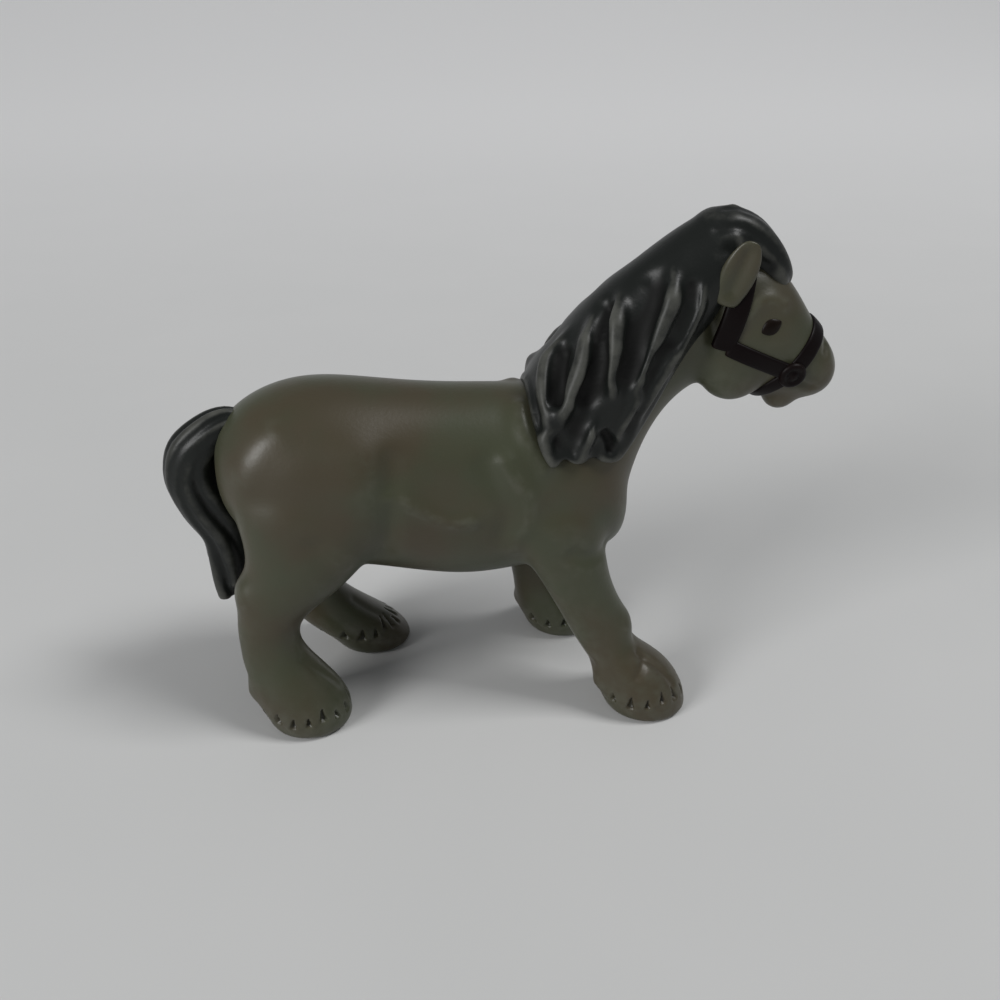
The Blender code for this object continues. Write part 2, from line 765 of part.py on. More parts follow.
def strap(name, points, radius, grown_head, leather, spaces):
    """A band along surface points, flat against the head, stopping short of the rings."""
    band = piece(name, tube(name + "_form", points, [radius] * len(points)), leather)
    combine(band, grown_head, "DIFFERENCE")
    for space in spaces:
        combine(band, space, "DIFFERENCE")
    return band


def halter(tree, grown_head, ear_spaces, leather):
    """Headpiece, cheek straps, noseband, chin strap and two rings on the head."""
    spaces = halter_rings(tree, grown_head, leather)
    ring_middle = head_place(*RING_SHARE)
    corner = head_place(*STRAP_CORNER_SHARE)
    quarter = math.pi / 2
    over_nose = arc_on_head(tree, ring_middle, head_place(*NOSE_TOP_SHARE), quarter)
    strap("halter_noseband", over_nose, STRAP_RADIUS, grown_head, leather, spaces)
    under_chin = arc_on_head(tree, ring_middle, head_place(*CHIN_LOW_SHARE), quarter)
    strap("halter_chin_strap", under_chin, STRAP_RADIUS, grown_head, leather, spaces)
    over_poll = arc_on_head(tree, corner, head_place(*POLL_SHARE), quarter)
    headpiece = strap(
        "halter_headpiece", over_poll, HEADPIECE_RADIUS, grown_head, leather, ear_spaces
    )
    headpiece_space = grown(
        tube("headpiece_form", over_poll, [HEADPIECE_RADIUS] * len(over_poll)),
        "headpiece_space", SEAM,
    )
    for side, name in ((-1, "right_cheek_strap"), (1, "left_cheek_strap")):
        places = [corner.lerp(ring_middle, i / CHEEK_STEPS) for i in range(CHEEK_STEPS + 1)]
        hits = [on_surface(tree, place, side) for place in places]
        points = [point - normal * STRAP_SINK for point, normal in hits]
        cheek_spaces = [*spaces, headpiece_space]
        strap(name, points, STRAP_RADIUS, grown_head, leather, cheek_spaces)
    return headpiece_space


def path_form(name, centres, flats, widths, levels):
    """A loft along centres in the middle plane, with half sizes in and across that plane."""
    rings = []
    for i, centre in enumerate(centres):
        before = centres[max(i - 1, 0)]
        after = centres[min(i + 1, len(centres) - 1)]
        along = (after - before).normalized()
        lift = Vector((-along.z, 0, along.x))
        rings.append(ellipse(centre, lift * flats[i], Vector((0, widths[i], 0)), 10))
    return loft(name, rings, levels)


def forelock(spaces, hair):
    """The tuft that falls from the poll over the forehead."""
    centres = [head_place(place, height) for place, height, _, _ in FORELOCK_SHARES]
    flats = [row[2] * FORELOCK_THICKNESS for row in FORELOCK_SHARES]
    widths = [row[3] * FORELOCK_WIDTH for row in FORELOCK_SHARES]
    tuft = piece("forelock", path_form("forelock_form", centres, flats, widths, 1), hair)
    for space in spaces:
        combine(tuft, space, "DIFFERENCE")
    return grown(tuft, "forelock_space", SEAM)


def mane(seat, spaces, hair):
    """Hair over both sides of the neck, with locks that fall to ragged tips."""
    base = ribbed_form("mane_form", MANE_SHARES, neck_place, NECK_WIDTH, MANE_THICKNESS, 1)
    hood = grown(seat, "mane_hood", HAIR_GAP + MANE_EDGE_THICKNESS)
    outline = [neck_place(*share) for share in MANE_EDGE_SHARES]
    reach = prism("mane_reach", outline, Vector((0, 1, 0)), -OVERRUN, OVERRUN)
    combine(hood, reach, "INTERSECT")
    bed = bmesh.new()
    for form in (base, hood, seat):
        bed.from_mesh(evaluated(form))
    tree = BVHTree.FromBMesh(bed)
    bed.free()
    locks = []
    for side in (-1, 1):
        first = 1 if side > 0 else 0
        for shares in LOCK_SHARES:
            places = [
                neck_place(place, height) + Vector((0, side * across * NECK_WIDTH, 0))
                for place, height, across in shares[first:]
            ]
            hits = [tree.find_nearest(place) for place in smooth_path(places, LOCK_STEPS)]
            points = [hit[0] + hit[1] * LOCK_LIFT for hit in hits]
            steps = len(points) - 1
            radii = []
            for i in range(len(points)):
                along = i / steps * (len(LOCK_TAPER_SHARES) - 1)
                low = min(int(along), len(LOCK_TAPER_SHARES) - 2)
                share = LOCK_TAPER_SHARES[low]
                share += (LOCK_TAPER_SHARES[low + 1] - share) * (along - low)
                radii.append(share * LOCK_RADIUS)
            locks.append(tube("lock_form", points, radii))
    hair_skin = skin("mane_skin", [base, hood, *locks], HAIR_GRAIN, 3, HAIR_FACES_SHARE)
    whole = piece("mane", hair_skin, hair)
    for space in spaces:
        combine(whole, space, "DIFFERENCE")
    clear_flash(whole, HAIR_GRAIN)


def tail(torso, grown_body, hair):
    """The tail, bent back from its root and down to a ragged tip, on a round peg."""
    root = trunk_place(*TAIL_ROOT_SHARES)
    centres = [
        root - Vector((back * TAIL_SWEEP, 0, drop * TAIL_LENGTH))
        for back, drop, _, _ in TAIL_SHARES
    ]
    flats = [row[2] * TAIL_THICKNESS for row in TAIL_SHARES]
    widths = [row[3] * TAIL_THICKNESS for row in TAIL_SHARES]
    whole = piece("tail", path_form("tail_form", centres, flats, widths, 1), hair)
    combine(whole, grown_body, "DIFFERENCE")
    inward = (centres[0] - centres[1]).normalized()
    peg_and_socket(whole, torso, centres[1], inward, TAIL_PEG_RADIUS, TAIL_PEG_LENGTH)


def centre_figure():
    """Carry every object by one empty, and put the figure's middle over the origin."""
    carrier = bpy.data.objects.new("pony_carrier", None)
    bpy.context.scene.collection.objects.link(carrier)
    points = [vertex.co for obj in parts.objects for vertex in evaluated(obj).vertices]
    middle_x = (min(p.x for p in points) + max(p.x for p in points)) / 2
    middle_y = (min(p.y for p in points) + max(p.y for p in points)) / 2
    for obj in (*parts.objects, *cutters.objects):
        obj.parent = carrier
    carrier.location = (-middle_x, -middle_y, 0)


def main():
    """Build every piece and centre the figure over the origin."""
    clear_scene()
    plastic = material("body_plastic", PLASTIC_COLOUR, 0.42)
    hair = material("hair_paint", HAIR_COLOUR, 0.28)
    leather = material("halter_paint", HALTER_COLOUR, 0.3)
    dark = material("eye_paint", EYE_COLOUR, 0.25)
    body, face, seat = body_forms()
    torso = legs_and_torso(body, plastic)
    head = neck_and_head(face, torso, plastic)
    tree = BVHTree.FromObject(face, bpy.context.evaluated_depsgraph_get())
    grown_body = grown(body, "body_space", SEAM)
    grown_seat = grown(seat, "hair_space", HAIR_GAP)
    grown_head = grown(face, "head_space", SEAM)
    eyes(head, tree, dark)
    ear_pair = ears(grown_head, plastic)
    ear_spaces = [grown(ear, ear.name + "_space", SEAM) for ear in ear_pair]
    headpiece_space = halter(tree, grown_head, ear_spaces, leather)
    forelock_space = forelock([grown_seat, headpiece_space, *ear_spaces], hair)
    mane(seat, [grown_seat, headpiece_space, forelock_space, *ear_spaces], hair)
    tail(torso, grown_body, hair)
    centre_figure()


main()
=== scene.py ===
# %% [markdown]
# # A moulded plastic pony
#
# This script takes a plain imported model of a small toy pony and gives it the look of
# the real figure: a soft olive-grey plastic body, a wavy painted mane and tail, and a
# dark halter. Each step is a short cell, and each cell says what it made.
#
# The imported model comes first. It is the fixed frame that everything else fits.

# %% Load the frame
import json
import math

import bmesh
import bpy
import numpy as np
from mathutils import Matrix, Vector
from mathutils.bvhtree import BVHTree
from mathutils.kdtree import KDTree

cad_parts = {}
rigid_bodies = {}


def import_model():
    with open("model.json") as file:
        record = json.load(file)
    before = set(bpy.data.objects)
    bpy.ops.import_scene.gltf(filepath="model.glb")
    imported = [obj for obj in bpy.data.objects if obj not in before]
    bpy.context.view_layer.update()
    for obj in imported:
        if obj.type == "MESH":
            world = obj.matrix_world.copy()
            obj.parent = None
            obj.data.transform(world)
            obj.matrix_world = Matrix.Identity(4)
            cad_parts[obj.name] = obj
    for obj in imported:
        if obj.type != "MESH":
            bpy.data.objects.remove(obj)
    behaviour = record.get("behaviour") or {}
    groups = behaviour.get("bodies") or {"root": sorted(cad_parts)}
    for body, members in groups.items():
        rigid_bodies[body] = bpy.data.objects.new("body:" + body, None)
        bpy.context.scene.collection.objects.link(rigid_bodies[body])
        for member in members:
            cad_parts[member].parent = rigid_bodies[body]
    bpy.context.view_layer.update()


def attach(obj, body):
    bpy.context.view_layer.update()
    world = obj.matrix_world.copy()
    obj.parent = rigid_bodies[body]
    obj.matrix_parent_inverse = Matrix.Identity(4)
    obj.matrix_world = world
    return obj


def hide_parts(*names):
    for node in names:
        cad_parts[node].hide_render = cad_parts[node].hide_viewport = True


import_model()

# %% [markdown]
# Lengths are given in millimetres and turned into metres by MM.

MM = 0.001

# %% [markdown]
# ## Camera
#
# The photograph was taken from close by, so the near hooves look larger than the far
# ones. The camera stands where the phone stood: about 150 mm away and 28 degrees up.

# %% Place the camera
camera_data = bpy.data.cameras.new("camera")
camera_data.lens = 36.0
camera_data.sensor_width = 36.0
camera_data.clip_start = 0.01
camera = bpy.data.objects.new("camera", camera_data)
camera.location = Vector((-9.59, -91.03, 69.72)) * MM
look_at = Vector((4.11, 39.39, 0.0)) * MM
camera.rotation_euler = (look_at - camera.location).to_track_quat("-Z", "Y").to_euler()
bpy.context.scene.collection.objects.link(camera)
bpy.context.scene.camera = camera
print("camera distance, mm:", round((look_at - camera.location).length / MM))

# %% [markdown]
# ## Shader sums
#
# Materials read better as sums than as lists of links. This small class wraps one
# socket of a node tree. Adding or multiplying two of them adds a Math node to the tree,
# and `node` adds any other node.


# %% A socket that can be used in sums
class Value:
    """One output socket of a shader tree; sums with it add Math nodes to the tree."""

    def __init__(self, tree, socket):
        self.tree = tree
        self.socket = socket

    def node(self, kind, inputs, output=0, **settings):
        """Add a node of any kind, set or link its inputs, and return one output."""
        made = self.tree.nodes.new("ShaderNode" + kind)
        for name, setting in settings.items():
            setattr(made, name, setting)
        for key, value in inputs.items():
            feed(self.tree, made.inputs[key], value)
        return Value(self.tree, made.outputs[output])

    def maths(self, operation, *others, **settings):
        return self.node("Math", dict(enumerate((self, *others))), operation=operation, **settings)

    def __add__(self, other):
        return self.maths("ADD", other)

    def __sub__(self, other):
        return self.maths("SUBTRACT", other)

    def __rsub__(self, other):
        return (self * -1) + other

    def __mul__(self, other):
        return self.maths("MULTIPLY", other)

    __radd__ = __add__
    __rmul__ = __mul__

    def step(self, low, high):
        """0 below low, 1 above high and a smooth rise between them."""
        inputs = {"Value": self, "From Min": low, "From Max": high}
        return self.node("MapRange", inputs, interpolation_type="SMOOTHSTEP")

    def blend(self, first, second):
        """A colour between two colours, at this value from 0 to 1."""
        inputs = {0: self, 6: first, 7: second}
        return self.node("Mix", inputs, output=2, data_type="RGBA")


def feed(tree, socket, value):
    """Link a Value to an input socket, or set the socket to a number or colour."""
    if isinstance(value, Value):
        tree.links.new(value.socket, socket)
    elif isinstance(value, tuple) and len(value) == 3 and socket.type == "RGBA":
        socket.default_value = (*value, 1.0)
    else:
        socket.default_value = value


# %% [markdown]
# ## Materials
#
# Every material starts from the same place: a Principled shader, the position of the
# point in metres, and the attribute `ridge` that the meshes carry. It is 1 on the crests
# of the moulding and 0 in its hollows.


# %% Start a material
def new_material(name, **plain):
    """A material with its shader, its position in metres and its crests."""
    made = bpy.data.materials.new(name)
    made.use_nodes = True
    tree = made.node_tree
    shader = tree.nodes["Principled BSDF"]
    for key, value in plain.items():
        shader.inputs[key.replace("_", " ").title().replace("Ior", "IOR")].default_value = value
    start = Value(tree, tree.nodes.new("ShaderNodeTexCoord").outputs["Object"])
    ridge = start.node("Attribute", {}, output=2, attribute_name="ridge")
    return made, tree, shader, start, ridge


def noise(place, scale, detail=2.0, roughness=0.5):
    """Soft noise from 0 to 1, with scale in cycles a metre."""
    inputs = {"Vector": place, "Scale": scale, "Detail": detail, "Roughness": roughness}
    return place.node("TexNoise", inputs)


def bump(start, height, distance):
    """A normal from a height; distance is how high 1 stands, in metres."""
    return start.node("Bump", {"Height": height, "Distance": distance})


# %% [markdown]
# The body is warm olive-grey plastic with a soft sheen. Large faint clouds of a warmer
# tone lie in it. Crests are rubbed a little paler and smoother, the deepest notches low on
# the hooves are darkened as painted shade, and a very fine orange peel breaks up the
# highlights.

# %% The body's plastic
PLASTIC = (0.049, 0.054, 0.031)
PLASTIC_WARM = (0.056, 0.046, 0.027)
PLASTIC_RUBBED = (0.082, 0.083, 0.06)
PLASTIC_NOTCH_SHADE = (0.012, 0.012, 0.008)
# Painted shade in the hoof notches: full below the first height in metres, gone above the second.
NOTCH_SHADE_FULL, NOTCH_SHADE_END = 0.004, 0.006


def plastic_material():
    made, tree, shader, place, ridge = new_material("moulded_plastic", specular_ior_level=0.4)
    clouds = noise(place, 90.0, 3.0)
    colour = clouds.step(0.38, 0.66).blend(PLASTIC, PLASTIC_WARM)
    rubbed = ridge.step(0.6, 0.95) * noise(place, 900.0, 4.0).step(0.3, 0.75)
    colour = (rubbed * 0.55).blend(colour, PLASTIC_RUBBED)
    level = place.node("SeparateXYZ", {"Vector": place}, output="Z")
    # Painted shade: the deepest hollows low on the hooves are darkened.
    deep = (1.0 - ridge.step(0.02, 0.3)) * (1.0 - level.step(NOTCH_SHADE_FULL, NOTCH_SHADE_END))
    colour = (deep * 0.6).blend(colour, PLASTIC_NOTCH_SHADE)
    peel = noise(place, 2600.0, 3.0)
    grain = noise(place, 9000.0, 2.0)
    feed(tree, shader.inputs["Base Color"], colour)
    feed(tree, shader.inputs["Roughness"], 0.27 + 0.12 * clouds + 0.08 * grain - 0.06 * rubbed)
    feed(tree, shader.inputs["Normal"], bump(place, peel + 0.3 * grain, 0.000012))
    return made


plastic = plastic_material()
print("made", plastic.name)

# %% [markdown]
# Mane, forelock and tail are painted dark slate over the same plastic. The hollows are
# darkened almost to black as painted shade. The crests show a paler, dustier grey, partly
# paint rubbed thin and partly a painted highlight.

# %% The hair's paint
HAIR = (0.0095, 0.011, 0.01)
HAIR_HOLLOW_SHADE = (0.0035, 0.0037, 0.0032)
HAIR_RIDGE_WEAR_AND_HIGHLIGHT = (0.115, 0.116, 0.102)


def hair_material():
    made, tree, shader, place, ridge = new_material("hair_paint", specular_ior_level=0.25)
    brush = noise(place, 700.0, 4.0, 0.6)
    # Paler crests: partly paint rubbed thin, partly a painted highlight.
    worn = (ridge + 0.3 * brush - 0.15).step(0.6, 0.92)
    # Painted shade: the hollows between the locks are darkened almost to black.
    deep = 1.0 - ridge.step(0.18, 0.46)
    colour = deep.blend(HAIR, HAIR_HOLLOW_SHADE)
    colour = (worn * 0.62).blend(colour, HAIR_RIDGE_WEAR_AND_HIGHLIGHT)
    streaks = noise(place, 3600.0, 3.0)
    feed(tree, shader.inputs["Base Color"], colour)
    feed(tree, shader.inputs["Roughness"], 0.3 + 0.12 * brush + 0.12 * worn + 0.3 * deep)
    feed(tree, shader.inputs["Normal"], bump(place, streaks + 0.5 * brush, 0.000016))
    return made


hair = hair_material()
print("made", hair.name)

# %% [markdown]
# The halter is painted almost black, with a little maroon in it, and the eye is a dark
# brown drop of gloss. Both are thin layers of paint, so their edges rub through first.

# %% Halter and eye paint
HALTER = (0.0032, 0.0013, 0.0014)
HALTER_WORN = (0.014, 0.007, 0.006)
EYE = (0.005, 0.0025, 0.0015)
EYE_RIM = (0.01, 0.006, 0.004)


def painted(name, colour, worn_colour, rough):
    made, tree, shader, place, ridge = new_material(name, specular_ior_level=0.12)
    brush = noise(place, 1300.0, 4.0, 0.6)
    worn = (ridge + 0.4 * brush - 0.2).step(0.55, 0.95)
    feed(tree, shader.inputs["Base Color"], (worn * 0.7).blend(colour, worn_colour))
    feed(tree, shader.inputs["Roughness"], rough + 0.16 * brush)
    feed(tree, shader.inputs["Normal"], bump(place, brush, 0.000014))
    return made


halter_paint = painted("halter_paint", HALTER, HALTER_WORN, 0.36)
eye_paint = painted("eye_paint", EYE, EYE_RIM, 0.3)
print("made", halter_paint.name, "and", eye_paint.name)

# %% [markdown]
# ## Mesh tools
#
# Meshes here have up to a hundred thousand points, so their points are handled as
# arrays. These helpers read and write them, and find what each point is linked to.


# %% Read and write points as arrays
def rows_of(source, name, width=3):
    flat = np.empty(len(source) * width, dtype=np.float32)
    source.foreach_get(name, flat)
    return flat.reshape(-1, width).astype(float)


def points_of(mesh):
    return rows_of(mesh.vertices, "co")


def normals_of(mesh):
    return rows_of(mesh.vertex_normals, "vector")


def set_points(mesh, points):
    mesh.vertices.foreach_set("co", points.astype(np.float32).ravel())
    mesh.update()


def relax(mesh, rounds, weight=1.0):
    """Move each point halfway to the middle of its neighbours, a number of times."""
    edges = np.empty(len(mesh.edges) * 2, dtype=np.int64)
    mesh.edges.foreach_get("vertices", edges)
    first, second = edges.reshape(-1, 2).T
    count = len(mesh.vertices)
    links = np.bincount(first, minlength=count) + np.bincount(second, minlength=count)
    points = points_of(mesh)
    share = 0.5 * np.broadcast_to(weight, (count,)) / links
    for _ in range(rounds):
        for axis in range(3):
            column = points[:, axis]
            total = np.bincount(first, column[second], count)
            total += np.bincount(second, column[first], count)
            points[:, axis] = column + share * (total - links * column)
    return points


# %% [markdown]
# Forms are made as lofts: rings of points, joined one after the other and smoothed by
# subdivision. A voxel remesh then draws one closed surface round all forms that overlap,
# and relaxing it turns their sharp meetings into soft blends, as in a mould.

# %% Lofts and skins
BODY_GRAIN, SEAT_GRAIN, HAIR_GRAIN = 0.18 * MM, 0.35 * MM, 0.15 * MM
TAIL_GRAIN, EAR_GRAIN, RING_GRAIN = 0.14 * MM, 0.12 * MM, 0.09 * MM

bench = bpy.data.collections.new("bench")
bpy.context.scene.collection.children.link(bench)


def put(mesh):
    """Put a mesh on the bench as an object."""
    obj = bpy.data.objects.new(mesh.name, mesh)
    bench.objects.link(obj)
    return obj


def shape_of(obj):
    """The mesh of an object after its modifiers; the object leaves the bench."""
    graph = bpy.context.evaluated_depsgraph_get()
    mesh = bpy.data.meshes.new_from_object(obj.evaluated_get(graph))
    bpy.data.objects.remove(obj, do_unlink=True)
    return mesh


def mesh_from(bm, name):
    mesh = bpy.data.meshes.new(name)
    bm.to_mesh(mesh)
    bm.free()
    return mesh


def headings(points):
    """The direction of a path at each of its points."""
    behind, ahead = [points[0], *points[:-1]], [*points[1:], points[-1]]
    return [(b - a).normalized() for a, b in zip(behind, ahead)]


def ellipse(centre, up, side, count):
    turns = [2 * math.pi * i / count for i in range(count)]
    return [centre + up * math.cos(t) + side * math.sin(t) for t in turns]


def loft(rings, levels=3):
    """A closed form through rings of equal count."""
    bm = bmesh.new()
    rows = [[bm.verts.new(point) for point in ring] for ring in rings]
    count = len(rings[0])
    for low, high in zip(rows, rows[1:]):
        for i in range(count):
            j = (i + 1) % count
            bm.faces.new((low[i], low[j], high[j], high[i]))
    bm.faces.new(rows[0])
    bm.faces.new(rows[-1])
    bmesh.ops.recalc_face_normals(bm, faces=bm.faces)
    obj = put(mesh_from(bm, "loft"))
    smoothing = obj.modifiers.new("smooth", "SUBSURF")
    smoothing.levels = smoothing.render_levels = levels
    return shape_of(obj)


def joined(meshes):
    bm = bmesh.new()
    for mesh in meshes:
        bm.from_mesh(mesh)
    return mesh_from(bm, "joined")


def skin(meshes, grain):
    """One closed surface round overlapping closed forms, made of squares of a grain."""
    obj = put(joined(meshes))
    wrap = obj.modifiers.new("wrap", "REMESH")
    wrap.mode = "VOXEL"
    wrap.voxel_size = grain
    return shape_of(obj)


def boolean(mesh, other, operation):
    """Cut one closed mesh with another, or keep what they share."""
    obj, tool = put(mesh), put(other)
    step = obj.modifiers.new("cut", "BOOLEAN")
    step.operation = operation
    step.object = tool
    step.solver = "MANIFOLD"
    result = shape_of(obj)
    bpy.data.objects.remove(tool, do_unlink=True)
    return result


def moved(mesh, distance):
    """A copy of a mesh, swollen by a distance."""
    copy = mesh.copy()
    set_points(copy, points_of(mesh) + normals_of(mesh) * distance)
    return copy


# %% [markdown]
# ## Body forms
#
# The tables give each ring as shares of a few main sizes. They are those of the imported
# model, so the figure stands where the imported model stands.

# %% Main sizes and tables of the body
TRUNK_LENGTH, TRUNK_DEPTH, TRUNK_WIDTH = 40.5 * MM, 21.4 * MM, 16.6 * MM
BELLY_HEIGHT, RUMP_X = 13.3 * MM, -26.93 * MM
NECK_REACH, NECK_RISE, NECK_WIDTH = 19.5 * MM, 28.5 * MM, 14.0 * MM
HEAD_REACH, HEAD_DEPTH, HEAD_WIDTH = 14.6 * MM, 16.8 * MM, 8.8 * MM
FOOT_LENGTH, FOOT_WIDTH, STRIDE = 9.7 * MM, 9.2 * MM, 6.3 * MM

TRUNK = (
    (-0.03, 0.76, 0.48, 0.17), (0.0, 0.87, 0.34, 0.32), (0.07, 0.98, 0.2, 0.47),
    (0.19, 1.055, 0.12, 0.55), (0.326, 1.03, 0.08, 0.525), (0.449, 1.0, 0.02, 0.5),
    (0.573, 0.985, -0.02, 0.505), (0.696, 0.98, 0.01, 0.5), (0.82, 0.95, 0.07, 0.475),
    (0.906, 0.85, 0.1, 0.43), (0.96, 0.68, 0.13, 0.33), (0.985, 0.52, 0.24, 0.18),
)
NECK = (
    (0.0, 0.51, 0.64, 0.0, 0.5), (0.18, 0.59, 0.69, 0.18, 0.46),
    (0.35, 0.69, 0.74, 0.33, 0.39), (0.55, 0.81, 0.84, 0.47, 0.34),
    (0.78, 0.92, 0.97, 0.55, 0.29), (1.0, 1.0, 1.1, 0.58, 0.27),
)
HEAD = (
    (0.02, 0.92, 0.04, 0.34, 0.42), (0.31, 0.99, 0.15, 0.185, 0.49),
    (0.56, 0.87, 0.34, 0.125, 0.52), (0.71, 0.69, 0.49, 0.09, 0.46),
    (0.815, 0.545, 0.62, 0.07, 0.41), (0.92, 0.44, 0.74, 0.05, 0.4),
    (0.99, 0.35, 0.86, 0.06, 0.34), (1.01, 0.26, 0.96, 0.13, 0.18),
)
HIND = (
    (1.0, 0.78, 0.47), (0.85, 0.72, 0.47), (0.7, 0.66, 0.45), (0.61, 0.61, 0.41),
    (0.535, 0.53, 0.36), (0.46, 0.38, 0.32), (0.37, 0.32, 0.3), (0.28, 0.39, 0.34),
    (0.19, 0.49, 0.43), (0.11, 0.52, 0.49), (0.04, 0.5, 0.51), (-0.05, 0.47, 0.48),
)
FORE = (
    (1.0, 0.62, 0.43), (0.875, 0.56, 0.43), (0.79, 0.5, 0.4), (0.67, 0.43, 0.36),
    (0.58, 0.39, 0.34), (0.46, 0.385, 0.33), (0.37, 0.345, 0.32), (0.29, 0.335, 0.33),
    (0.21, 0.45, 0.43), (0.125, 0.51, 0.5), (0.04, 0.505, 0.5), (-0.06, 0.47, 0.47),
)
# Leg name: table, top height, distance apart at the top and at the ground, place
# along the trunk, side, and how far each level swings forward
LEGS = {
    "right_hind_leg": (HIND, 27.0, 9.4, 14.0, 0.183, -1, (
        -0.03, 0.0, 0.02, -0.2, -0.47, -0.7, -0.76, -0.65, -0.48, -0.29, -0.17, -0.15)),
    "left_hind_leg": (HIND, 27.0, 9.4, 14.0, 0.183, 1, (
        0.0, 0.1, 0.17, 0.06, -0.09, -0.22, -0.28, -0.2, 0.08, 0.5, 0.86, 0.93)),
    "right_fore_leg": (FORE, 24.0, 9.0, 16.0, 0.77, -1, (
        0.0, 0.1, 0.19, 0.37, 0.51, 0.75, 0.86, 1.05, 1.37, 1.52, 1.64, 1.75)),
    "left_fore_leg": (FORE, 24.0, 9.0, 16.0, 0.77, 1, (
        0.0, 0.03, 0.05, 0.06, 0.08, 0.1, 0.11, 0.16, 0.35, 0.51, 0.64, 0.73)),
}


# %% [markdown]
# Three places are used again and again: a point of the middle plane in the measures of
# the trunk, the neck or the head. The hair, the halter and the eyes use them as well.


# %% Places in the middle plane
def trunk_place(place, height):
    return Vector((RUMP_X + place * TRUNK_LENGTH, 0, BELLY_HEIGHT + height * TRUNK_DEPTH))


def neck_place(place, height):
    return trunk_place(0.66, 0.195) + Vector((place * NECK_REACH, 0, height * NECK_RISE))


def head_place(place, height):
    return neck_place(0.98, 0.453) + Vector((place * HEAD_REACH, 0, height * HEAD_DEPTH))


def ribs(table, place, width, thicker=0.0):
    """A loft whose rings run from a top point to a bottom point of the middle plane."""
    rings = []
    for top_x, top_z, low_x, low_z, half in table:
        top, low = place(top_x, top_z), place(low_x, low_z)
        across = Vector((0, half * width + thicker, 0))
        rings.append(ellipse((top + low) / 2, (top - low) / 2, across, 12))
    return loft(rings)


def placed(bm, name, scale, centre):
    """The mesh of a unit form, scaled and moved to its place."""
    bmesh.ops.transform(bm, matrix=Matrix.Diagonal((*scale, 1)), verts=bm.verts)
    bmesh.ops.translate(bm, vec=centre, verts=bm.verts)
    return mesh_from(bm, name)


def ball(centre, radii):
    bm = bmesh.new()
    bmesh.ops.create_icosphere(bm, subdivisions=4, radius=1)
    return placed(bm, "ball", radii, centre)


def block(low, high):
    """A box between two corners."""
    bm = bmesh.new()
    bmesh.ops.create_cube(bm, size=1)
    return placed(bm, "block", high - low, (low + high) / 2)


# %% [markdown]
# Each leg is cut off flat at the ground before the skin is drawn round it. Relaxing
# the skin afterwards rounds the edge of the sole, as on the moulded hooves.


# %% Trunk, neck, head and legs as forms
JOWL_PLACE, JOWL_APART, JOWL_RADII = (0.24, 0.325), 0.27, Vector((3.7, 1.85, 3.7)) * MM
CHIN_PLACE, CHIN_RADII = (0.64, 0.095), Vector((1.9, 1.9, 1.9)) * MM


def leg_form(table, height, top_apart, foot_apart, root, side, swings):
    rings = []
    for (level, half_length, half_width), swing in zip(table, swings):
        reach = (top_apart + (foot_apart - top_apart) * (1 - max(level, 0))) / 2 * MM
        x = trunk_place(root, 0).x + swing * STRIDE
        centre = Vector((x, side * reach, level * height * MM))
        ahead = Vector((half_length * FOOT_LENGTH, 0, 0))
        across = Vector((0, half_width * FOOT_WIDTH, 0))
        rings.append(ellipse(centre, ahead, across, 10))
    ground = block(Vector((-60, -60, -20)) * MM, Vector((60, 60, 0)) * MM)
    return boolean(loft(rings), ground, "DIFFERENCE")


def body_forms():
    trunk = [(along, back, along, belly, half) for along, back, belly, half in TRUNK]
    forms = [
        ribs(trunk, trunk_place, TRUNK_WIDTH), ribs(NECK, neck_place, NECK_WIDTH),
        ribs(HEAD, head_place, HEAD_WIDTH),
    ]
    for side in (-1, 1):
        jowl = head_place(*JOWL_PLACE) + Vector((0, side * JOWL_APART * HEAD_WIDTH, 0))
        forms.append(ball(jowl, JOWL_RADII))
    forms.append(ball(head_place(*CHIN_PLACE), CHIN_RADII))
    return forms + [leg_form(*row) for row in LEGS.values()]


body = skin(body_forms(), BODY_GRAIN)
print("body skin:", len(body.vertices), "points")

# %% [markdown]
# The head keeps more of its shape than the body: it is relaxed for fewer rounds. Its
# share of the rounds follows from how far a point lies behind the jaw.

# %% Relax the skin
start = points_of(body)
set_points(body, relax(body, 70))
behind_jaw = np.clip((15.0 * MM - start[:, 0]) / (4.0 * MM), 0, 1)
set_points(body, relax(body, 50, behind_jaw))
soles = points_of(body)
soles[:, 2] -= 0.05 * MM * np.exp(-((soles[:, 2] / (0.4 * MM)) ** 2))
soles[:, 2] = np.maximum(soles[:, 2], 0)
set_points(body, soles)
print("lowest point, mm:", round(soles[:, 2].min() / MM, 3))

# %% [markdown]
# ## Folds, muscles and hooves
#
# The moulded body has soft creases and swellings: a fold in front of each thigh, one
# round the shoulder, a knot at each knee and hock. They are pressed into the skin. A
# path is given as seen from the side or in space, it is laid onto the skin, and points
# near it move in or out.


# %% Press marks into a skin
def tree_of(mesh):
    bm = bmesh.new()
    bm.from_mesh(mesh)
    tree = BVHTree.FromBMesh(bm)
    bm.free()
    return tree


def thrown(tree, x, z, side):
    """The first point of a skin, and its normal, seen from one side at x and z in mm."""
    hit, normal, _, _ = tree.ray_cast(Vector((x * MM, side * 40 * MM, z * MM)), Vector((0, -side, 0)))
    return hit, normal


def filled(points, steps=8):
    """Points on a smooth curve through the given ones."""
    ends = [2 * points[0] - points[1], *points, 2 * points[-1] - points[-2]]
    result = []
    for a, b, c, d in zip(ends, ends[1:], ends[2:], ends[3:]):
        for i in range(steps):
            t = i / steps
            bend = (2 * a - 5 * b + 4 * c - d) * t**2 / 2
            result.append(b + (c - a) * t / 2 + bend + (3 * b - a - 3 * c + d) * t**3 / 2)
    return [*result, points[-1]]


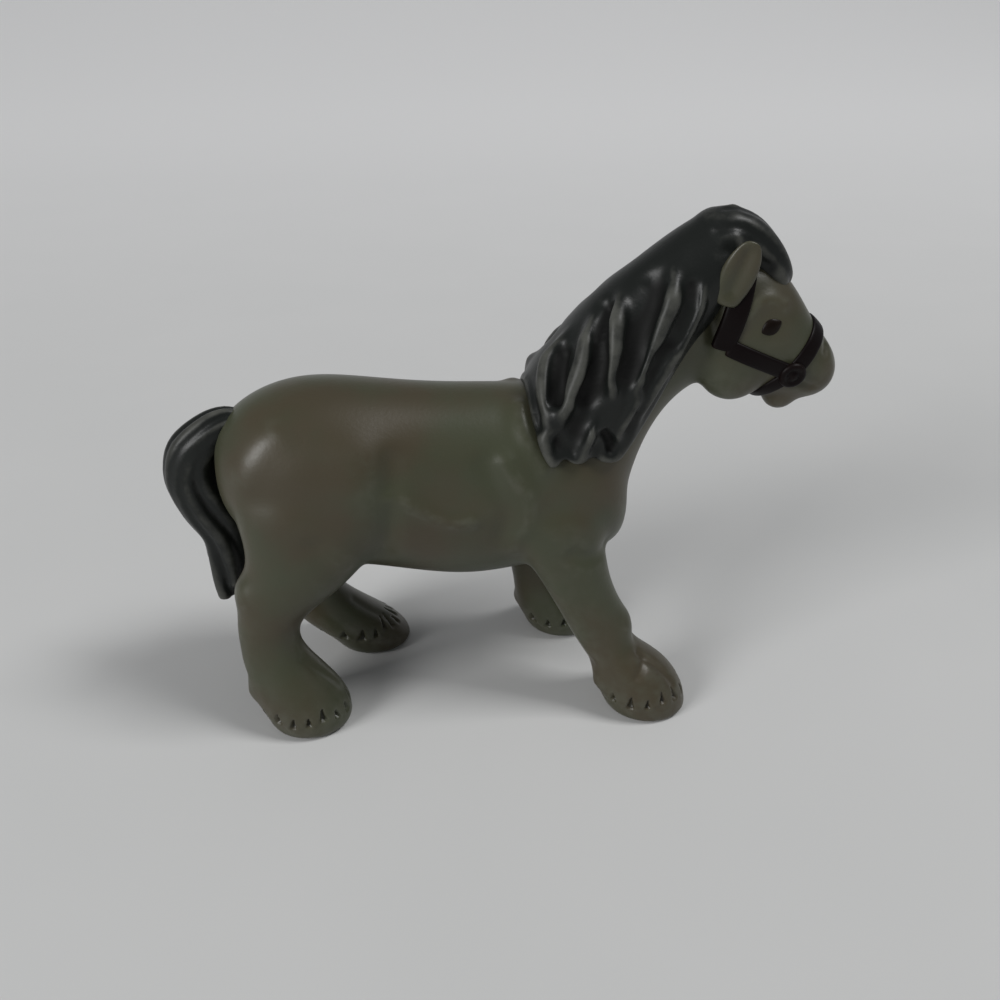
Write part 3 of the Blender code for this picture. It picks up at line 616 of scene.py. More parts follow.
def press(points, normals, path, width, depth):
    """Move points along their normals near a path, most on it and less with distance."""
    path = np.array(path)
    near = np.all((points > path.min(0) - 3 * width) & (points < path.max(0) + 3 * width), axis=1)
    chosen = np.flatnonzero(near)
    gaps = np.full(len(chosen), np.inf)
    for spot in path:
        gaps = np.minimum(gaps, np.linalg.norm(points[chosen] - spot, axis=1))
    points[chosen] += normals[chosen] * (depth * np.exp(-((gaps / width) ** 2)))[:, None]


# Marks on both sides: points in mm, width in mm, depth in mm (minus is a crease).
# Two numbers are a place as seen from the side, three are a point near the skin.
BODY_MARKS = (
    (((-10.9, 29.4), (-11.0, 27.9), (-11.2, 25.4), (-11.5, 22.7), (-12.1, 19.7)), 1.15, -0.36),
    (((-14.0, 29.6), (-14.1, 28.0), (-14.3, 25.4), (-14.8, 22.6), (-15.4, 20.4)), 2.6, 0.42),
    (((-11.0, 26.0), (-10.0, 25.5), (-8.6, 24.6), (-7.0, 23.6), (-5.4, 23.0), (-3.6, 23.0)), 0.85, 0.32),
    (((-9.4, 28.0), (-7.2, 26.8), (-4.8, 26.2), (-3.0, 26.4)), 2.2, -0.26),
    (((0.0, 28.6), (0.6, 27.4), (1.4, 26.2), (2.0, 25.0), (2.1, 23.6), (1.7, 22.2), (1.0, 21.0),
      (0.7, 19.6)), 1.2, 0.34),
    (((-2.2, 28.6), (-1.5, 27.2), (-0.8, 25.4), (-0.4, 23.6), (-0.6, 21.3)), 1.1, -0.24),
    (((10.0, 18.5), (9.3, 18.3), (8.4, 18.4), (7.5, 18.5), (6.4, 19.0)), 0.9, -0.28),
    (((-21.6, 32.0), (-22.8, 31.0), (-23.8, 29.7), (-24.7, 28.1)), 1.8, 0.3),
    (((-16.4, 17.6), (-17.6, 19.4), (-18.4, 21.6)), 1.2, -0.2),
    (((1.6, -3.4, 32.9), (1.6, -4.6, 32.1), (2.0, -6.4, 31.2), (2.8, -7.3, 29.9),
      (3.6, -7.5, 28.4)), 1.1, 0.45),
    (((24.6, 40.3), (24.9, 40.1)), 1.5, -0.24),
    (((22.4, 40.8), (23.4, 42.1), (24.9, 42.6), (26.3, 42.0)), 0.75, 0.22),
    (((30.3, 33.5), (29.4, 33.9), (28.4, 34.0)), 0.45, -0.26),
    (((31.7, 37.4), (31.5, 36.9)), 0.5, -0.24),
)
# Marks on one leg each: knee, hock, back of the fetlock, and grooves over the hoof
LEG_MARKS = (
    (((13.0, -6.6, 10.2), (13.2, -7.6, 10.0)), 1.5, 0.42), (((13.4, -7.4, 8.1),), 1.0, -0.2),
    (((7.3, 7.4, 10.2),), 1.5, 0.35),
    (((-27.2, -6.0, 16.3), (-26.8, -7.2, 16.2)), 1.6, 0.45), (((-27.0, -6.8, 13.2),), 1.4, -0.22),
    (((-23.4, 6.4, 16.3),), 1.6, 0.4),
    (((-25.4, -6.9, 4.2),), 1.1, 0.42), (((-26.0, -6.9, 6.4),), 1.0, -0.2),
    (((9.6, -8.6, 3.6),), 1.0, 0.4), (((8.6, -8.2, 5.6),), 1.0, -0.2),
    (((3.7, 7.9, 4.0),), 1.0, 0.36), (((-19.0, 6.9, 4.3),), 1.0, 0.36),
    (((13.4, -8.7, 6.9), (14.7, -9.0, 5.8), (15.8, -9.3, 4.9), (17.0, -9.7, 3.4)), 0.5, -0.2),
    (((13.1, -10.5, 5.2), (13.6, -9.9, 5.8), (13.9, -9.2, 6.4)), 0.5, -0.18),
    (((-20.9, -7.6, 8.0), (-19.4, -7.3, 6.1), (-17.8, -6.9, 4.1)), 0.55, -0.16),
    (((-15.2, 5.0, 7.2), (-13.4, 4.9, 6.0), (-11.8, 5.3, 4.6)), 0.55, -0.14),
    (((9.2, 6.4, 6.2), (10.8, 6.4, 5.0), (12.0, 6.8, 3.6)), 0.55, -0.14),
)


def press_marks(mesh, marks, sides=(-1, 1)):
    """Press marks into a skin, on the given sides of the middle plane."""
    tree, points, normals = tree_of(mesh), points_of(mesh), normals_of(mesh)
    for path, width, depth in marks:
        for side in sides:
            spots = []
            for place in path:
                if len(place) == 2:
                    spots.append(thrown(tree, *place, side)[0])
                else:
                    x, y, z = place
                    spots.append(tree.find_nearest(Vector((x, -side * y, z)) * MM)[0])
            spots = filled(spots) if len(spots) > 1 else spots
            press(points, normals, spots, width * MM, depth * MM)
    set_points(mesh, points)


press_marks(body, BODY_MARKS)
press_marks(body, LEG_MARKS, (-1,))
print("pressed", len(BODY_MARKS), "marks on both sides and", len(LEG_MARKS), "on the legs")

# %% [markdown]
# Hair hangs over each hoof and ends in blunt tips, with a dark triangular notch between
# one tip and the next. Each notch is drawn in towards the middle of the hoof. It is
# widest at its lower edge. The number of notches and their turn are set for each hoof.

# %% Hoof notches
# Leg: middle of the hoof in mm, number of notches, turn, and height of the notches in mm
HOOVES = {
    "right_hind_leg": (-20.8, -6.9, 16, 0.367, 2.3), "left_hind_leg": (-14.3, 6.9, 16, 0.2, 2.9),
    "right_fore_leg": (14.4, -7.9, 14, 0.175, 2.45), "left_fore_leg": (8.1, 7.9, 15, 0.4, 2.5),
}


def smooth_step(low, high, values):
    share = np.clip((values - low) / (high - low), 0, 1)
    return share * share * (3 - 2 * share)


def shape_hooves(mesh):
    points = points_of(mesh)
    x, y, z = (points / MM).T
    for middle_x, middle_y, count, turn, level in HOOVES.values():
        away_x, away_y = x - middle_x, y - middle_y
        angle = np.arctan2(away_y, away_x)
        wave = angle * count / (2 * math.pi) + turn
        number = np.floor(wave)
        uneven = np.sin(number * 2.4 + 7 * turn)
        aside = np.abs(wave - number - 0.5) * 2 * math.pi * 4.7 / count
        low = level + 0.22 * np.sin(number * 1.7 + turn) - 0.35
        up = (z - low) / (1.15 + 0.25 * uneven)
        own = (np.hypot(away_x, away_y) < 7.0) & (z < 6.0)
        width = (0.62 + 0.1 * uneven) * np.clip(1 - up, 0, 1)
        notch = smooth_step(0.0, 0.75, 1 - aside / np.maximum(width, 0.05))
        notch *= smooth_step(-0.16, 0.1, up) * (1 - smooth_step(0.8, 1.05, up))
        below = (1 - smooth_step(-0.4, 0.1, z - low)) * smooth_step(0.1, 0.9, z)
        drawn = (0.07 * below + 0.5 * notch) * own
        reach = np.maximum(np.hypot(away_x, away_y), 0.1)
        points[:, 0] -= drawn * away_x / reach * MM
        points[:, 1] -= drawn * away_y / reach * MM
    set_points(mesh, points)


shape_hooves(body)
print("shaped", len(HOOVES), "hooves")

# %% [markdown]
# A material can tell crests from hollows if the mesh says where they are. The distance
# between a point and the same point on a well relaxed copy does that: it is positive
# on a crest. It is kept as the attribute `ridge`, with 0.5 for flat ground.


# %% Mark crests and hollows
def store(mesh, name, values):
    layer = mesh.attributes.get(name) or mesh.attributes.new(name, "FLOAT", "POINT")
    layer.data.foreach_set("value", values.astype(np.float32))


def mark_ridges(mesh, rounds, height):
    """Keep 0 in hollows and 1 on crests; height is how far a crest of 1 stands out."""
    out = np.einsum("ij,ij->i", points_of(mesh) - relax(mesh, rounds), normals_of(mesh))
    store(mesh, "ridge", np.clip(0.5 + out / (2 * height), 0, 1))


def carry(whole, part):
    """Give a cut part the normals and crests that the whole skin has at its points."""
    tree = KDTree(len(whole.vertices))
    for i, point in enumerate(points_of(whole)):
        tree.insert(point, i)
    tree.balance()
    normals = normals_of(whole)
    ridges = rows_of(whole.attributes["ridge"].data, "value", 1).ravel()
    part_normals, part_ridges = [], []
    for point in points_of(part):
        near = tree.find_n(point, 3)
        rows = [row[1] for row in near]
        shares = np.array([1 / (row[2] + 1e-9) for row in near])
        shares /= shares.sum()
        part_normals.append(shares @ normals[rows])
        part_ridges.append(shares @ ridges[rows])
    store(part, "ridge", np.array(part_ridges))
    part.normals_split_custom_set_from_vertices(part_normals)


mark_ridges(body, 60, 0.1 * MM)

# %% [markdown]
# ## Cut the body into its pieces
#
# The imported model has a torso, four legs and one piece for neck and head. The skin is
# cut along the same planes, but with no gap, because the real figure is one moulding.
# The skin's own normals are used on both sides of a cut, so that no line shows there.


# %% Regions of the pieces
FAR = 60 * MM
SEAMS = {"hind": ((0.2, 0.0), (0.62, 0.46)), "fore": ((0.22, 0.0), (0.64, 0.44))}


def prism(outline, axis, low, high):
    """A flat outline, pushed out along an axis from low to high."""
    bm = bmesh.new()
    face = bm.faces.new([bm.verts.new(point + axis * low) for point in outline])
    pushed = bmesh.ops.extrude_face_region(bm, geom=[face])
    top = [item for item in pushed["geom"] if isinstance(item, bmesh.types.BMVert)]
    bmesh.ops.translate(bm, vec=axis * (high - low), verts=top)
    bmesh.ops.recalc_face_normals(bm, faces=bm.faces)
    return mesh_from(bm, "prism")


def leg_region(name):
    side = -1 if name.startswith("right") else 1
    front = "fore" in name
    inner, outer = [
        Vector((0, side * across * TRUNK_WIDTH, trunk_place(0, up).z))
        for across, up in SEAMS["fore" if front else "hind"]
    ]
    far = outer + (outer - inner).normalized() * FAR
    level = Vector((0, 0, inner.z - 0.22 * BELLY_HEIGHT))
    below = Vector((0, 0, -FAR))
    outline = [level, inner, far, Vector((0, far.y, -FAR)), below]
    waist = trunk_place(0.52, 0).x
    low, high = (waist, waist + FAR) if front else (waist - FAR, waist)
    return prism(outline, Vector((1, 0, 0)), low, high)


def neck_region():
    crest, chest = neck_place(0.1, 0.615), neck_place(0.72, 0.135)
    down = (chest - crest).normalized() * FAR
    forward = Vector((-down.z, 0, down.x))
    outline = [crest - down, chest + down, chest + down + forward, crest - down + forward]
    return prism(outline, Vector((0, 1, 0)), -FAR, FAR)


# %% Cut and finish the pieces
visual = bpy.data.collections.new("pony")
bpy.context.scene.collection.children.link(visual)


def finish_piece(name, mesh, material, whole=None):
    """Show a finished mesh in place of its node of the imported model."""
    mesh.name = name
    mesh.materials.clear()
    mesh.materials.append(material)
    mesh.polygons.foreach_set("use_smooth", [True] * len(mesh.polygons))
    if whole:
        carry(whole, mesh)
    piece = bpy.data.objects.new(name + "_skin", mesh)
    visual.objects.link(piece)
    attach(piece, "root")
    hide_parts(name)
    print(name, len(mesh.polygons), "faces")


def cut_body():
    torso = boolean(body, neck_region(), "DIFFERENCE")
    for name in LEGS:
        leg = boolean(body, leg_region(name), "INTERSECT")
        torso = boolean(torso, leg_region(name), "DIFFERENCE")
        finish_piece(name, leg, plastic, body)
    finish_piece("torso", torso, plastic, body)
    head = boolean(body, neck_region(), "INTERSECT")
    finish_piece("neck_and_head", head, plastic, body)


cut_body()

# %% [markdown]
# ## Strands
#
# Every lock of hair is a round strand along a path, thick in the middle and thin at its
# ends. Geometry Nodes sweep them all at once: the paths are a mesh of edges, and each
# of its points carries its own half thickness in the attribute `girth`.


# %% Build the strand tree
def strand_tree():
    tree = bpy.data.node_groups.new("sweep strands", "GeometryNodeTree")
    face = tree.interface
    face.new_socket("Paths", in_out="INPUT", socket_type="NodeSocketGeometry")
    sides = face.new_socket("Sides", in_out="INPUT", socket_type="NodeSocketInt")
    finish = face.new_socket("Finish", in_out="INPUT", socket_type="NodeSocketMaterial")
    face.new_socket("Strands", in_out="OUTPUT", socket_type="NodeSocketGeometry")
    steps = {}
    for key, kind in (
        ("in", "NodeGroupInput"), ("curve", "GeometryNodeMeshToCurve"),
        ("girth", "GeometryNodeInputNamedAttribute"), ("circle", "GeometryNodeCurvePrimitiveCircle"),
        ("sweep", "GeometryNodeCurveToMesh"), ("real", "GeometryNodeRealizeInstances"),
        ("paint", "GeometryNodeSetMaterial"), ("out", "NodeGroupOutput"),
    ):
        steps[key] = tree.nodes.new(kind)
    steps["girth"].inputs["Name"].default_value = "girth"
    steps["circle"].inputs["Radius"].default_value = 1.0
    steps["sweep"].inputs["Fill Caps"].default_value = True
    for source, output, target, socket in (
        ("in", "Paths", "curve", "Mesh"), ("in", "Sides", "circle", "Resolution"),
        ("curve", "Curve", "sweep", "Curve"), ("girth", "Attribute", "sweep", "Scale"),
        ("circle", "Curve", "sweep", "Profile Curve"), ("sweep", "Mesh", "real", "Geometry"),
        ("real", "Geometry", "paint", "Geometry"), ("in", "Finish", "paint", "Material"),
        ("paint", "Geometry", "out", "Strands"),
    ):
        tree.links.new(steps[source].outputs[output], steps[target].inputs[socket])
    return tree, sides.identifier, finish.identifier


STRANDS, SIDES_INPUT, FINISH_INPUT = strand_tree()


def strands(paths, sides=12):
    """Sweep strands along (points, girths) paths; the result is one plain mesh."""
    knots, edges, girths = [], [], []
    for points, widths in paths:
        edges += [(len(knots) + i, len(knots) + i + 1) for i in range(len(points) - 1)]
        knots += [tuple(point) for point in points]
        girths += list(widths)
    mesh = bpy.data.meshes.new("paths")
    mesh.from_pydata(knots, edges, [])
    store(mesh, "girth", np.array(girths))
    obj = put(mesh)
    modifier = obj.modifiers.new("strands", "NODES")
    modifier.node_group = STRANDS
    modifier[SIDES_INPUT] = sides
    modifier[FINISH_INPUT] = hair
    swept = shape_of(obj)
    bm = bmesh.new()
    bm.from_mesh(swept)
    bmesh.ops.remove_doubles(bm, verts=bm.verts, dist=0.001 * MM)
    bmesh.ops.recalc_face_normals(bm, faces=bm.faces)
    bm.to_mesh(swept)
    bm.free()
    return swept


def taper(count, thick, shares=(0.45, 1.0, 0.95, 0.3)):
    """Half thicknesses along a strand, from shares spread evenly over its length."""
    places = np.linspace(0, len(shares) - 1, count)
    return np.interp(places, range(len(shares)), shares) * thick


# %% [markdown]
# ## Mane
#
# The mane is a cap over the crest of the neck with thick wavy locks on both sides, and
# deep hollows between them. The cap and the locks overlap, one skin is drawn round them
# all, and the skin is relaxed only a little so that the hollows stay deep.

# %% Mane tables
MANE = (
    (0.06, 0.555, 0.3, 0.3, 0.45), (0.25, 0.72, 0.5, 0.27, 0.47),
    (0.455, 0.9, 0.68, 0.34, 0.43), (0.67, 1.0, 0.79, 0.48, 0.36),
    (0.88, 1.115, 0.9, 0.61, 0.28), (1.08, 1.18, 1.0, 0.73, 0.24),
    (1.19, 1.18, 1.12, 0.87, 0.19),
)
MANE_EDGE = (
    (0.12, 0.66), (0.124, 0.61), (0.129, 0.56), (0.135, 0.52), (0.15, 0.48), (0.175, 0.43),
    (0.2, 0.385), (0.24, 0.37), (0.285, 0.4), (0.33, 0.375), (0.38, 0.375), (0.43, 0.395),
    (0.47, 0.37), (0.52, 0.36), (0.575, 0.36), (0.62, 0.395), (0.66, 0.435), (0.7, 0.48),
    (0.745, 0.535), (0.79, 0.6), (0.83, 0.665), (0.875, 0.735), (0.91, 0.8), (0.95, 0.9),
    (0.98, 1.0), (1.04, 1.09), (0.6, 1.25), (0.1, 0.9),
)
# Each lock: points in mm near the right side of the neck, and its half thickness in mm
LOCKS = (
    (((7.4, -1.0, 40.9), (5.7, -1.4, 38.5), (4.4, -2.2, 37.0), (3.5, -3.7, 36.0), (3.2, -5.0, 35.0),
      (3.4, -6.4, 33.5), (3.5, -7.3, 31.7), (3.8, -7.8, 29.9), (4.3, -7.8, 28.3)), 0.95),
    (((8.1, -2.4, 41.8), (7.8, -4.0, 40.6), (7.3, -5.2, 39.3), (6.7, -6.3, 38.0), (6.1, -6.9, 36.4),
      (5.3, -7.3, 34.8), (4.7, -7.5, 33.2), (4.4, -7.7, 31.4)), 1.25),
    (((10.7, -2.4, 44.0), (10.1, -4.6, 41.8), (9.7, -6.0, 40.0), (9.6, -7.0, 38.2), (9.6, -7.5, 36.4),
      (9.5, -7.6, 34.4)), 1.3),
    (((15.4, -3.0, 46.5), (15.1, -4.8, 44.6), (14.7, -5.7, 43.2), (13.9, -6.4, 41.6), (13.3, -6.9, 40.0),
      (12.8, -7.2, 38.2), (12.3, -7.3, 36.4), (11.5, -7.3, 34.4)), 1.2),
    (((17.9, -4.0, 46.6), (18.0, -5.2, 44.6), (17.8, -5.8, 42.6), (17.3, -6.2, 40.6), (16.5, -6.4, 38.6),
      (15.2, -6.5, 36.6), (13.8, -6.5, 34.4), (12.6, -6.2, 32.0), (11.8, -5.8, 29.4)), 0.75),
    (((13.2, -6.9, 36.2), (12.0, -7.0, 33.9), (11.0, -7.0, 31.6), (10.3, -6.8, 29.4)), 0.55),
    (((7.9, -7.5, 32.8), (7.6, -7.6, 31.2), (7.2, -7.5, 29.8), (6.8, -7.4, 28.4)), 0.75),
)
# The deep hollows between the locks, in the same form as the marks on the body
HOLLOWS = (
    (((5.5, -3.0, 38.0), (5.1, -3.9, 37.1), (4.8, -5.1, 35.9), (4.6, -6.3, 34.6)), 0.8, -0.85),
    (((9.1, -3.0, 42.5), (8.8, -4.8, 40.8), (8.4, -6.3, 38.6), (7.9, -7.0, 36.4),
      (7.4, -7.4, 34.8)), 0.8, -0.85),
    (((7.8, -7.4, 35.0), (7.2, -7.6, 33.4), (6.2, -7.8, 31.4)), 1.3, -0.55),
    (((13.4, -3.8, 44.4), (12.8, -5.2, 42.5), (12.1, -6.3, 40.6), (11.6, -7.0, 39.0),
      (11.1, -7.4, 37.0)), 1.35, -0.85),
    (((17.0, -5.1, 44.6), (16.8, -6.0, 42.8), (16.4, -6.4, 41.2), (15.6, -6.6, 39.7), (14.5, -6.8, 38.2),
      (13.6, -7.0, 36.8)), 0.7, -0.45),
    (((9.4, -7.5, 31.0), (9.8, -7.3, 30.2), (10.1, -7.0, 29.4)), 0.4, -0.7),
    (((10.1, -7.0, 29.4),), 0.6, -0.45),
)
FORELOCK = (
    (-0.06, 1.03, 0.56, 0.36), (0.08, 1.11, 0.66, 0.42), (0.25, 1.08, 0.74, 0.48),
    (0.395, 0.96, 0.72, 0.5), (0.495, 0.835, 0.64, 0.47), (0.565, 0.735, 0.44, 0.36),
)
FORELOCK_GROOVES = (
    (((19.5, -2.4, 48.9), (21.6, -2.6, 49.0), (23.6, -2.6, 48.0), (25.4, -2.2, 46.2),
      (26.8, -1.5, 43.9)), 0.5, -0.28),
    (((20.4, -4.4, 47.6), (22.2, -4.6, 46.4), (24.0, -4.4, 44.8)), 0.7, -0.4),
    (((20.6, -0.7, 50.2), (23.2, -0.7, 49.6), (25.6, -0.6, 47.6), (27.3, -0.4, 44.8)), 0.5, -0.2),
)


def swept_form(rows, flat, wide, levels=3):
    """A loft through rows of (centre, half thickness share, half width share)."""
    ways = headings([row[0] for row in rows])
    rings = []
    for (centre, flat_share, wide_share), along in zip(rows, ways):
        lift = Vector((-along.z, 0, along.x)) * flat_share * flat
        rings.append(ellipse(centre, lift, Vector((0, wide_share * wide, 0)), 10))
    return loft(rings, levels)


CAP_THICKNESS, HOOD_THICKNESS = 1.1 * MM, 0.85 * MM
TUFT_THICKNESS, TUFT_WIDTH = 3.0 * MM, 6.4 * MM


def hair_forms(seat):
    """The cap, its low hood, the forelock and the locks, which rise late on the left."""
    cap = ribs(MANE, neck_place, NECK_WIDTH, CAP_THICKNESS)
    outline = [neck_place(*share) for share in MANE_EDGE]
    reach = prism(outline, Vector((0, 1, 0)), -FAR, FAR)
    hood = boolean(moved(seat, HOOD_THICKNESS), reach, "INTERSECT")
    rows = [(head_place(place, height), flat, wide) for place, height, flat, wide in FORELOCK]
    tuft = swept_form(rows, TUFT_THICKNESS, TUFT_WIDTH)
    tree = tree_of(joined([cap, hood, seat]))
    paths = []
    for side, rise, sunk in ((-1, 0.25, 0.9), (1, 0.65, 1.4)):
        for path, thick in LOCKS:
            spots = []
            for spot in filled([Vector((x, -side * y, z)) * MM for x, y, z in path]):
                hit, normal, _, _ = tree.find_nearest(spot)
                spots.append((hit, normal))
            along = np.linspace(0, 1, len(spots))
            lifts = np.interp(along, (0, rise, 0.8, 1), (-sunk, 0.15, 0.15, -0.3))
            centres = [hit + normal * lift * MM for (hit, normal), lift in zip(spots, lifts)]
            starts = (0.7, 1.0) if side < 0 else (0.3, 0.6)
            paths.append((centres, taper(len(centres), thick * MM, (*starts, 1.0, 0.9, 0.45))))
    return [cap, hood, tuft, strands(paths, 16)]


# %% Make the mane and the forelock
seat = skin(body_forms()[:6], SEAT_GRAIN)
set_points(seat, relax(seat, 20))


def make_hair():
    whole = skin(hair_forms(seat), HAIR_GRAIN)
    set_points(whole, relax(whole, 26))
    press_marks(whole, HOLLOWS + FORELOCK_GROOVES)
    set_points(whole, relax(whole, 12))
    mark_ridges(whole, 90, 0.32 * MM)
    seated = boolean(whole, body.copy(), "DIFFERENCE")
    start, ahead = head_place(0.17, 0.9), Vector((0.85, 0, 0.52))
    down = Vector((ahead.z, 0, -ahead.x)) * FAR
    brow = prism(
        [start - down, start + down, start + down + ahead * FAR, start - down + ahead * FAR],
        Vector((0, 1, 0)), -FAR, FAR,
    )
    finish_piece("forelock", boolean(seated, brow.copy(), "INTERSECT"), hair, whole)
    finish_piece("mane", boolean(seated, brow, "DIFFERENCE"), hair, whole)


make_hair()

# %% [markdown]
# ## Tail
#
# The tail leaves the rump upwards, bends down and swings in towards the hind leg. Long
# curved strands lie round it and end one after the other, which makes the tip ragged.

# %% Make the tail
TAIL = (
    (-0.35, 0.02, 0.26, 0.26), (0.0, 0.01, 0.27, 0.27), (0.29, 0.01, 0.4, 0.42),
    (0.6, 0.065, 0.52, 0.52), (0.87, 0.16, 0.67, 0.57), (0.93, 0.28, 0.74, 0.58),
    (0.79, 0.42, 0.68, 0.56), (0.58, 0.57, 0.56, 0.52), (0.55, 0.71, 0.56, 0.47),
    (0.58, 0.84, 0.54, 0.41), (0.62, 0.925, 0.44, 0.32),
)
TAIL_SWEEP, TAIL_LENGTH = 6.3 * MM, 21.5 * MM
TAIL_CORE, TAIL_HALF, STRAND_HALF = 3.7 * MM, 4.4 * MM, 0.9 * MM
STRAND_COUNT, STRAND_PLACE = 9, 0.62


def make_tail():
    root = trunk_place(0.057, 0.846)
    rows = [
        (root - Vector((back * TAIL_SWEEP, 0, drop * TAIL_LENGTH)), flat, wide)
        for back, drop, flat, wide in TAIL
    ]
    ways = headings([row[0] for row in rows])
    paths = []
    for k in range(STRAND_COUNT):
        knots = []
        for i, ((centre, flat, wide), along) in enumerate(zip(rows, ways)):
            lift = Vector((-along.z, 0, along.x)) * flat * TAIL_HALF
            angle = 2 * math.pi * k / STRAND_COUNT + 0.35 * math.sin(0.7 * i + k)
            out = Vector((0, wide * TAIL_HALF, 0)) * math.sin(angle) + lift * math.cos(angle)
            knots.append(centre + out * STRAND_PLACE)
        last = len(rows) - (k * 4) % 3
        spots = filled(knots[1:last], 6)
        paths.append((spots, taper(len(spots), STRAND_HALF, (0.2, 0.7, 1.0, 1.0, 1.0, 0.8))))
    whole = skin([swept_form(rows, TAIL_CORE, TAIL_CORE), strands(paths)], TAIL_GRAIN)
    set_points(whole, relax(whole, 12))
    mark_ridges(whole, 60, 0.22 * MM)
    seated = boolean(whole, body.copy(), "DIFFERENCE")
    finish_piece("tail", seated, hair, whole)


make_tail()

# %% [markdown]
# ## Ears
#
# Each ear is a broad leaf, cupped on its outer side. A loft gives the leaf, and the cup
# is pressed into it with the same tool as the folds of the body.

# %% Make the ears
EAR = (
    (-0.04, 0.32, 0.36), (0.06, 0.38, 0.44), (0.24, 0.47, 0.5), (0.5, 0.51, 0.46),
    (0.76, 0.39, 0.36), (0.92, 0.2, 0.24),
)
EAR_HEIGHT, EAR_WIDTH, EAR_THICKNESS = 6.9 * MM, 3.6 * MM, 1.6 * MM


def make_ear(name, side):
    base = head_place(0.1, 0.72) + Vector((0, side * 0.44 * HEAD_WIDTH, 0))
    axis = Vector((0.3, side * 0.18, 1)).normalized()
    across = Vector((1, side * 0.18, 0)).normalized()
    across = (across - axis * across.dot(axis)).normalized()
    deep = axis.cross(across)
    rings = []
    for up, wide, thick in EAR:
        centre = base + axis * up * EAR_HEIGHT
        rings.append(ellipse(centre, across * wide * EAR_WIDTH, deep * thick * EAR_THICKNESS, 12))
    leaf = skin([loft(rings)], EAR_GRAIN)
    points, normals = points_of(leaf), normals_of(leaf)
    outward = deep if deep.y * side > 0 else -deep
    cup = [base + axis * EAR_HEIGHT * up + outward * 0.7 * MM for up in np.linspace(0.22, 0.74, 12)]
    press(points, normals, cup, 0.95 * MM, -0.62 * MM)
    set_points(leaf, points)
    set_points(leaf, relax(leaf, 6))
    mark_ridges(leaf, 40, 0.15 * MM)
    seated = boolean(leaf, body.copy(), "DIFFERENCE")
    finish_piece(name, seated, plastic, leaf)


for name, side in (("right_ear", -1), ("left_ear", 1)):
    make_ear(name, side)

# %% [markdown]
# ## Halter
#
# The halter is moulded as flat bands that stand a little proud of the head. Each band
# follows points on the skin of the head. Its section is a flat box with round edges,
# held square to the skin all along.


# %% Bands on the head
head_tree = tree_of(body)


def band(points, normals, half_width, height):
    """A closed flat band along surface points, sunk a little into the surface."""
    rings = []
    for point, normal, along in zip(points, normals, headings(points)):
        across = along.cross(normal).normalized()
        ring = []
        for k in range(16):
            angle = 2 * math.pi * k / 16
            flat = math.copysign(abs(math.cos(angle)) ** 0.45, math.cos(angle))
            rise = math.copysign(abs(math.sin(angle)) ** 0.6, math.sin(angle))
            ring.append(point + across * flat * half_width + normal * (rise * height + height * 0.1))
        rings.append(ring)
    return loft(rings, 1)


def arc(centre, crown, reach=1.0, steps=40):
    """Points and normals of the head's skin from side to side over a crown point."""
    up = (crown - centre).normalized()
    points, normals = [], []
    for i in range(steps + 1):
        angle = reach * math.pi / 2 * (2 * i / steps - 1)
        spoke = up * math.cos(angle) + Vector((0, math.sin(angle), 0))
        point, normal, _, _ = head_tree.ray_cast(centre + spoke * HEAD_DEPTH, -spoke)
        points.append(point)
        normals.append((normal + spoke).normalized())
    return points, normals


def add_band(name, points, normals, half_width, height):
    mesh = band(points, normals, half_width * MM, height * MM)
    mark_ridges(mesh, 3, 0.1 * MM)
    finish_piece(name, mesh, halter_paint)


ring_middle = head_place(0.61, 0.29)
corner = head_place(0.13, 0.475)
add_band("halter_noseband", *arc(ring_middle, head_place(0.81, 0.52)), 0.85, 0.32)
add_band("halter_chin_strap", *arc(ring_middle, head_place(0.4, 0.12)), 0.75, 0.42)
add_band("halter_headpiece", *arc(corner, head_place(0.27, 0.95), 1.09), 1.15, 0.52)
for name, side in (("right_cheek_strap", -1), ("left_cheek_strap", 1)):
    places = [corner.lerp(ring_middle, i / 20) for i in range(1, 21)]
    hits = [thrown(head_tree, place.x / MM, place.z / MM, side) for place in places]
    add_band(name, [hit[0] for hit in hits], [hit[1] for hit in hits], 0.85, 0.43)

# %% [markdown]
# A ring joins the bands on each cheek. It is a round wire with a low stud inside it.


# %% Rings
RING_RADIUS, WIRE_RADIUS, STUD_RADIUS, RING_TURNS = 0.98 * MM, 0.4 * MM, 0.7 * MM, 48


def make_ring(name, side):
    point, normal = thrown(head_tree, ring_middle.x / MM, ring_middle.z / MM, side)
    across = normal.orthogonal().normalized()
    along = normal.cross(across)
    turns = [2 * math.pi * i / RING_TURNS for i in range(RING_TURNS + 1)]
    centres = [
        point + normal * 0.38 * MM + (across * math.cos(t) + along * math.sin(t)) * RING_RADIUS
        for t in turns
    ]
    stud = ball(point + normal * 0.2 * MM, [STUD_RADIUS] * 3)
    ring = skin([strands([(centres, [WIRE_RADIUS] * len(centres))]), stud], RING_GRAIN)
    set_points(ring, relax(ring, 5))
    mark_ridges(ring, 20, 0.12 * MM)
    finish_piece(name, ring, halter_paint)


for name, side in (("right_halter_ring", -1), ("left_halter_ring", 1)):
    make_ring(name, side)

# %% [markdown]
# ## Eyes
#
# Each eye is a small glossy almond in a shallow hollow of the head. A ball is drawn out
# to a point at both ends and laid flat against the skin.

# %% Make the eyes
EYE_HALVES = np.array((1.12, 0.4, 0.82)) * MM


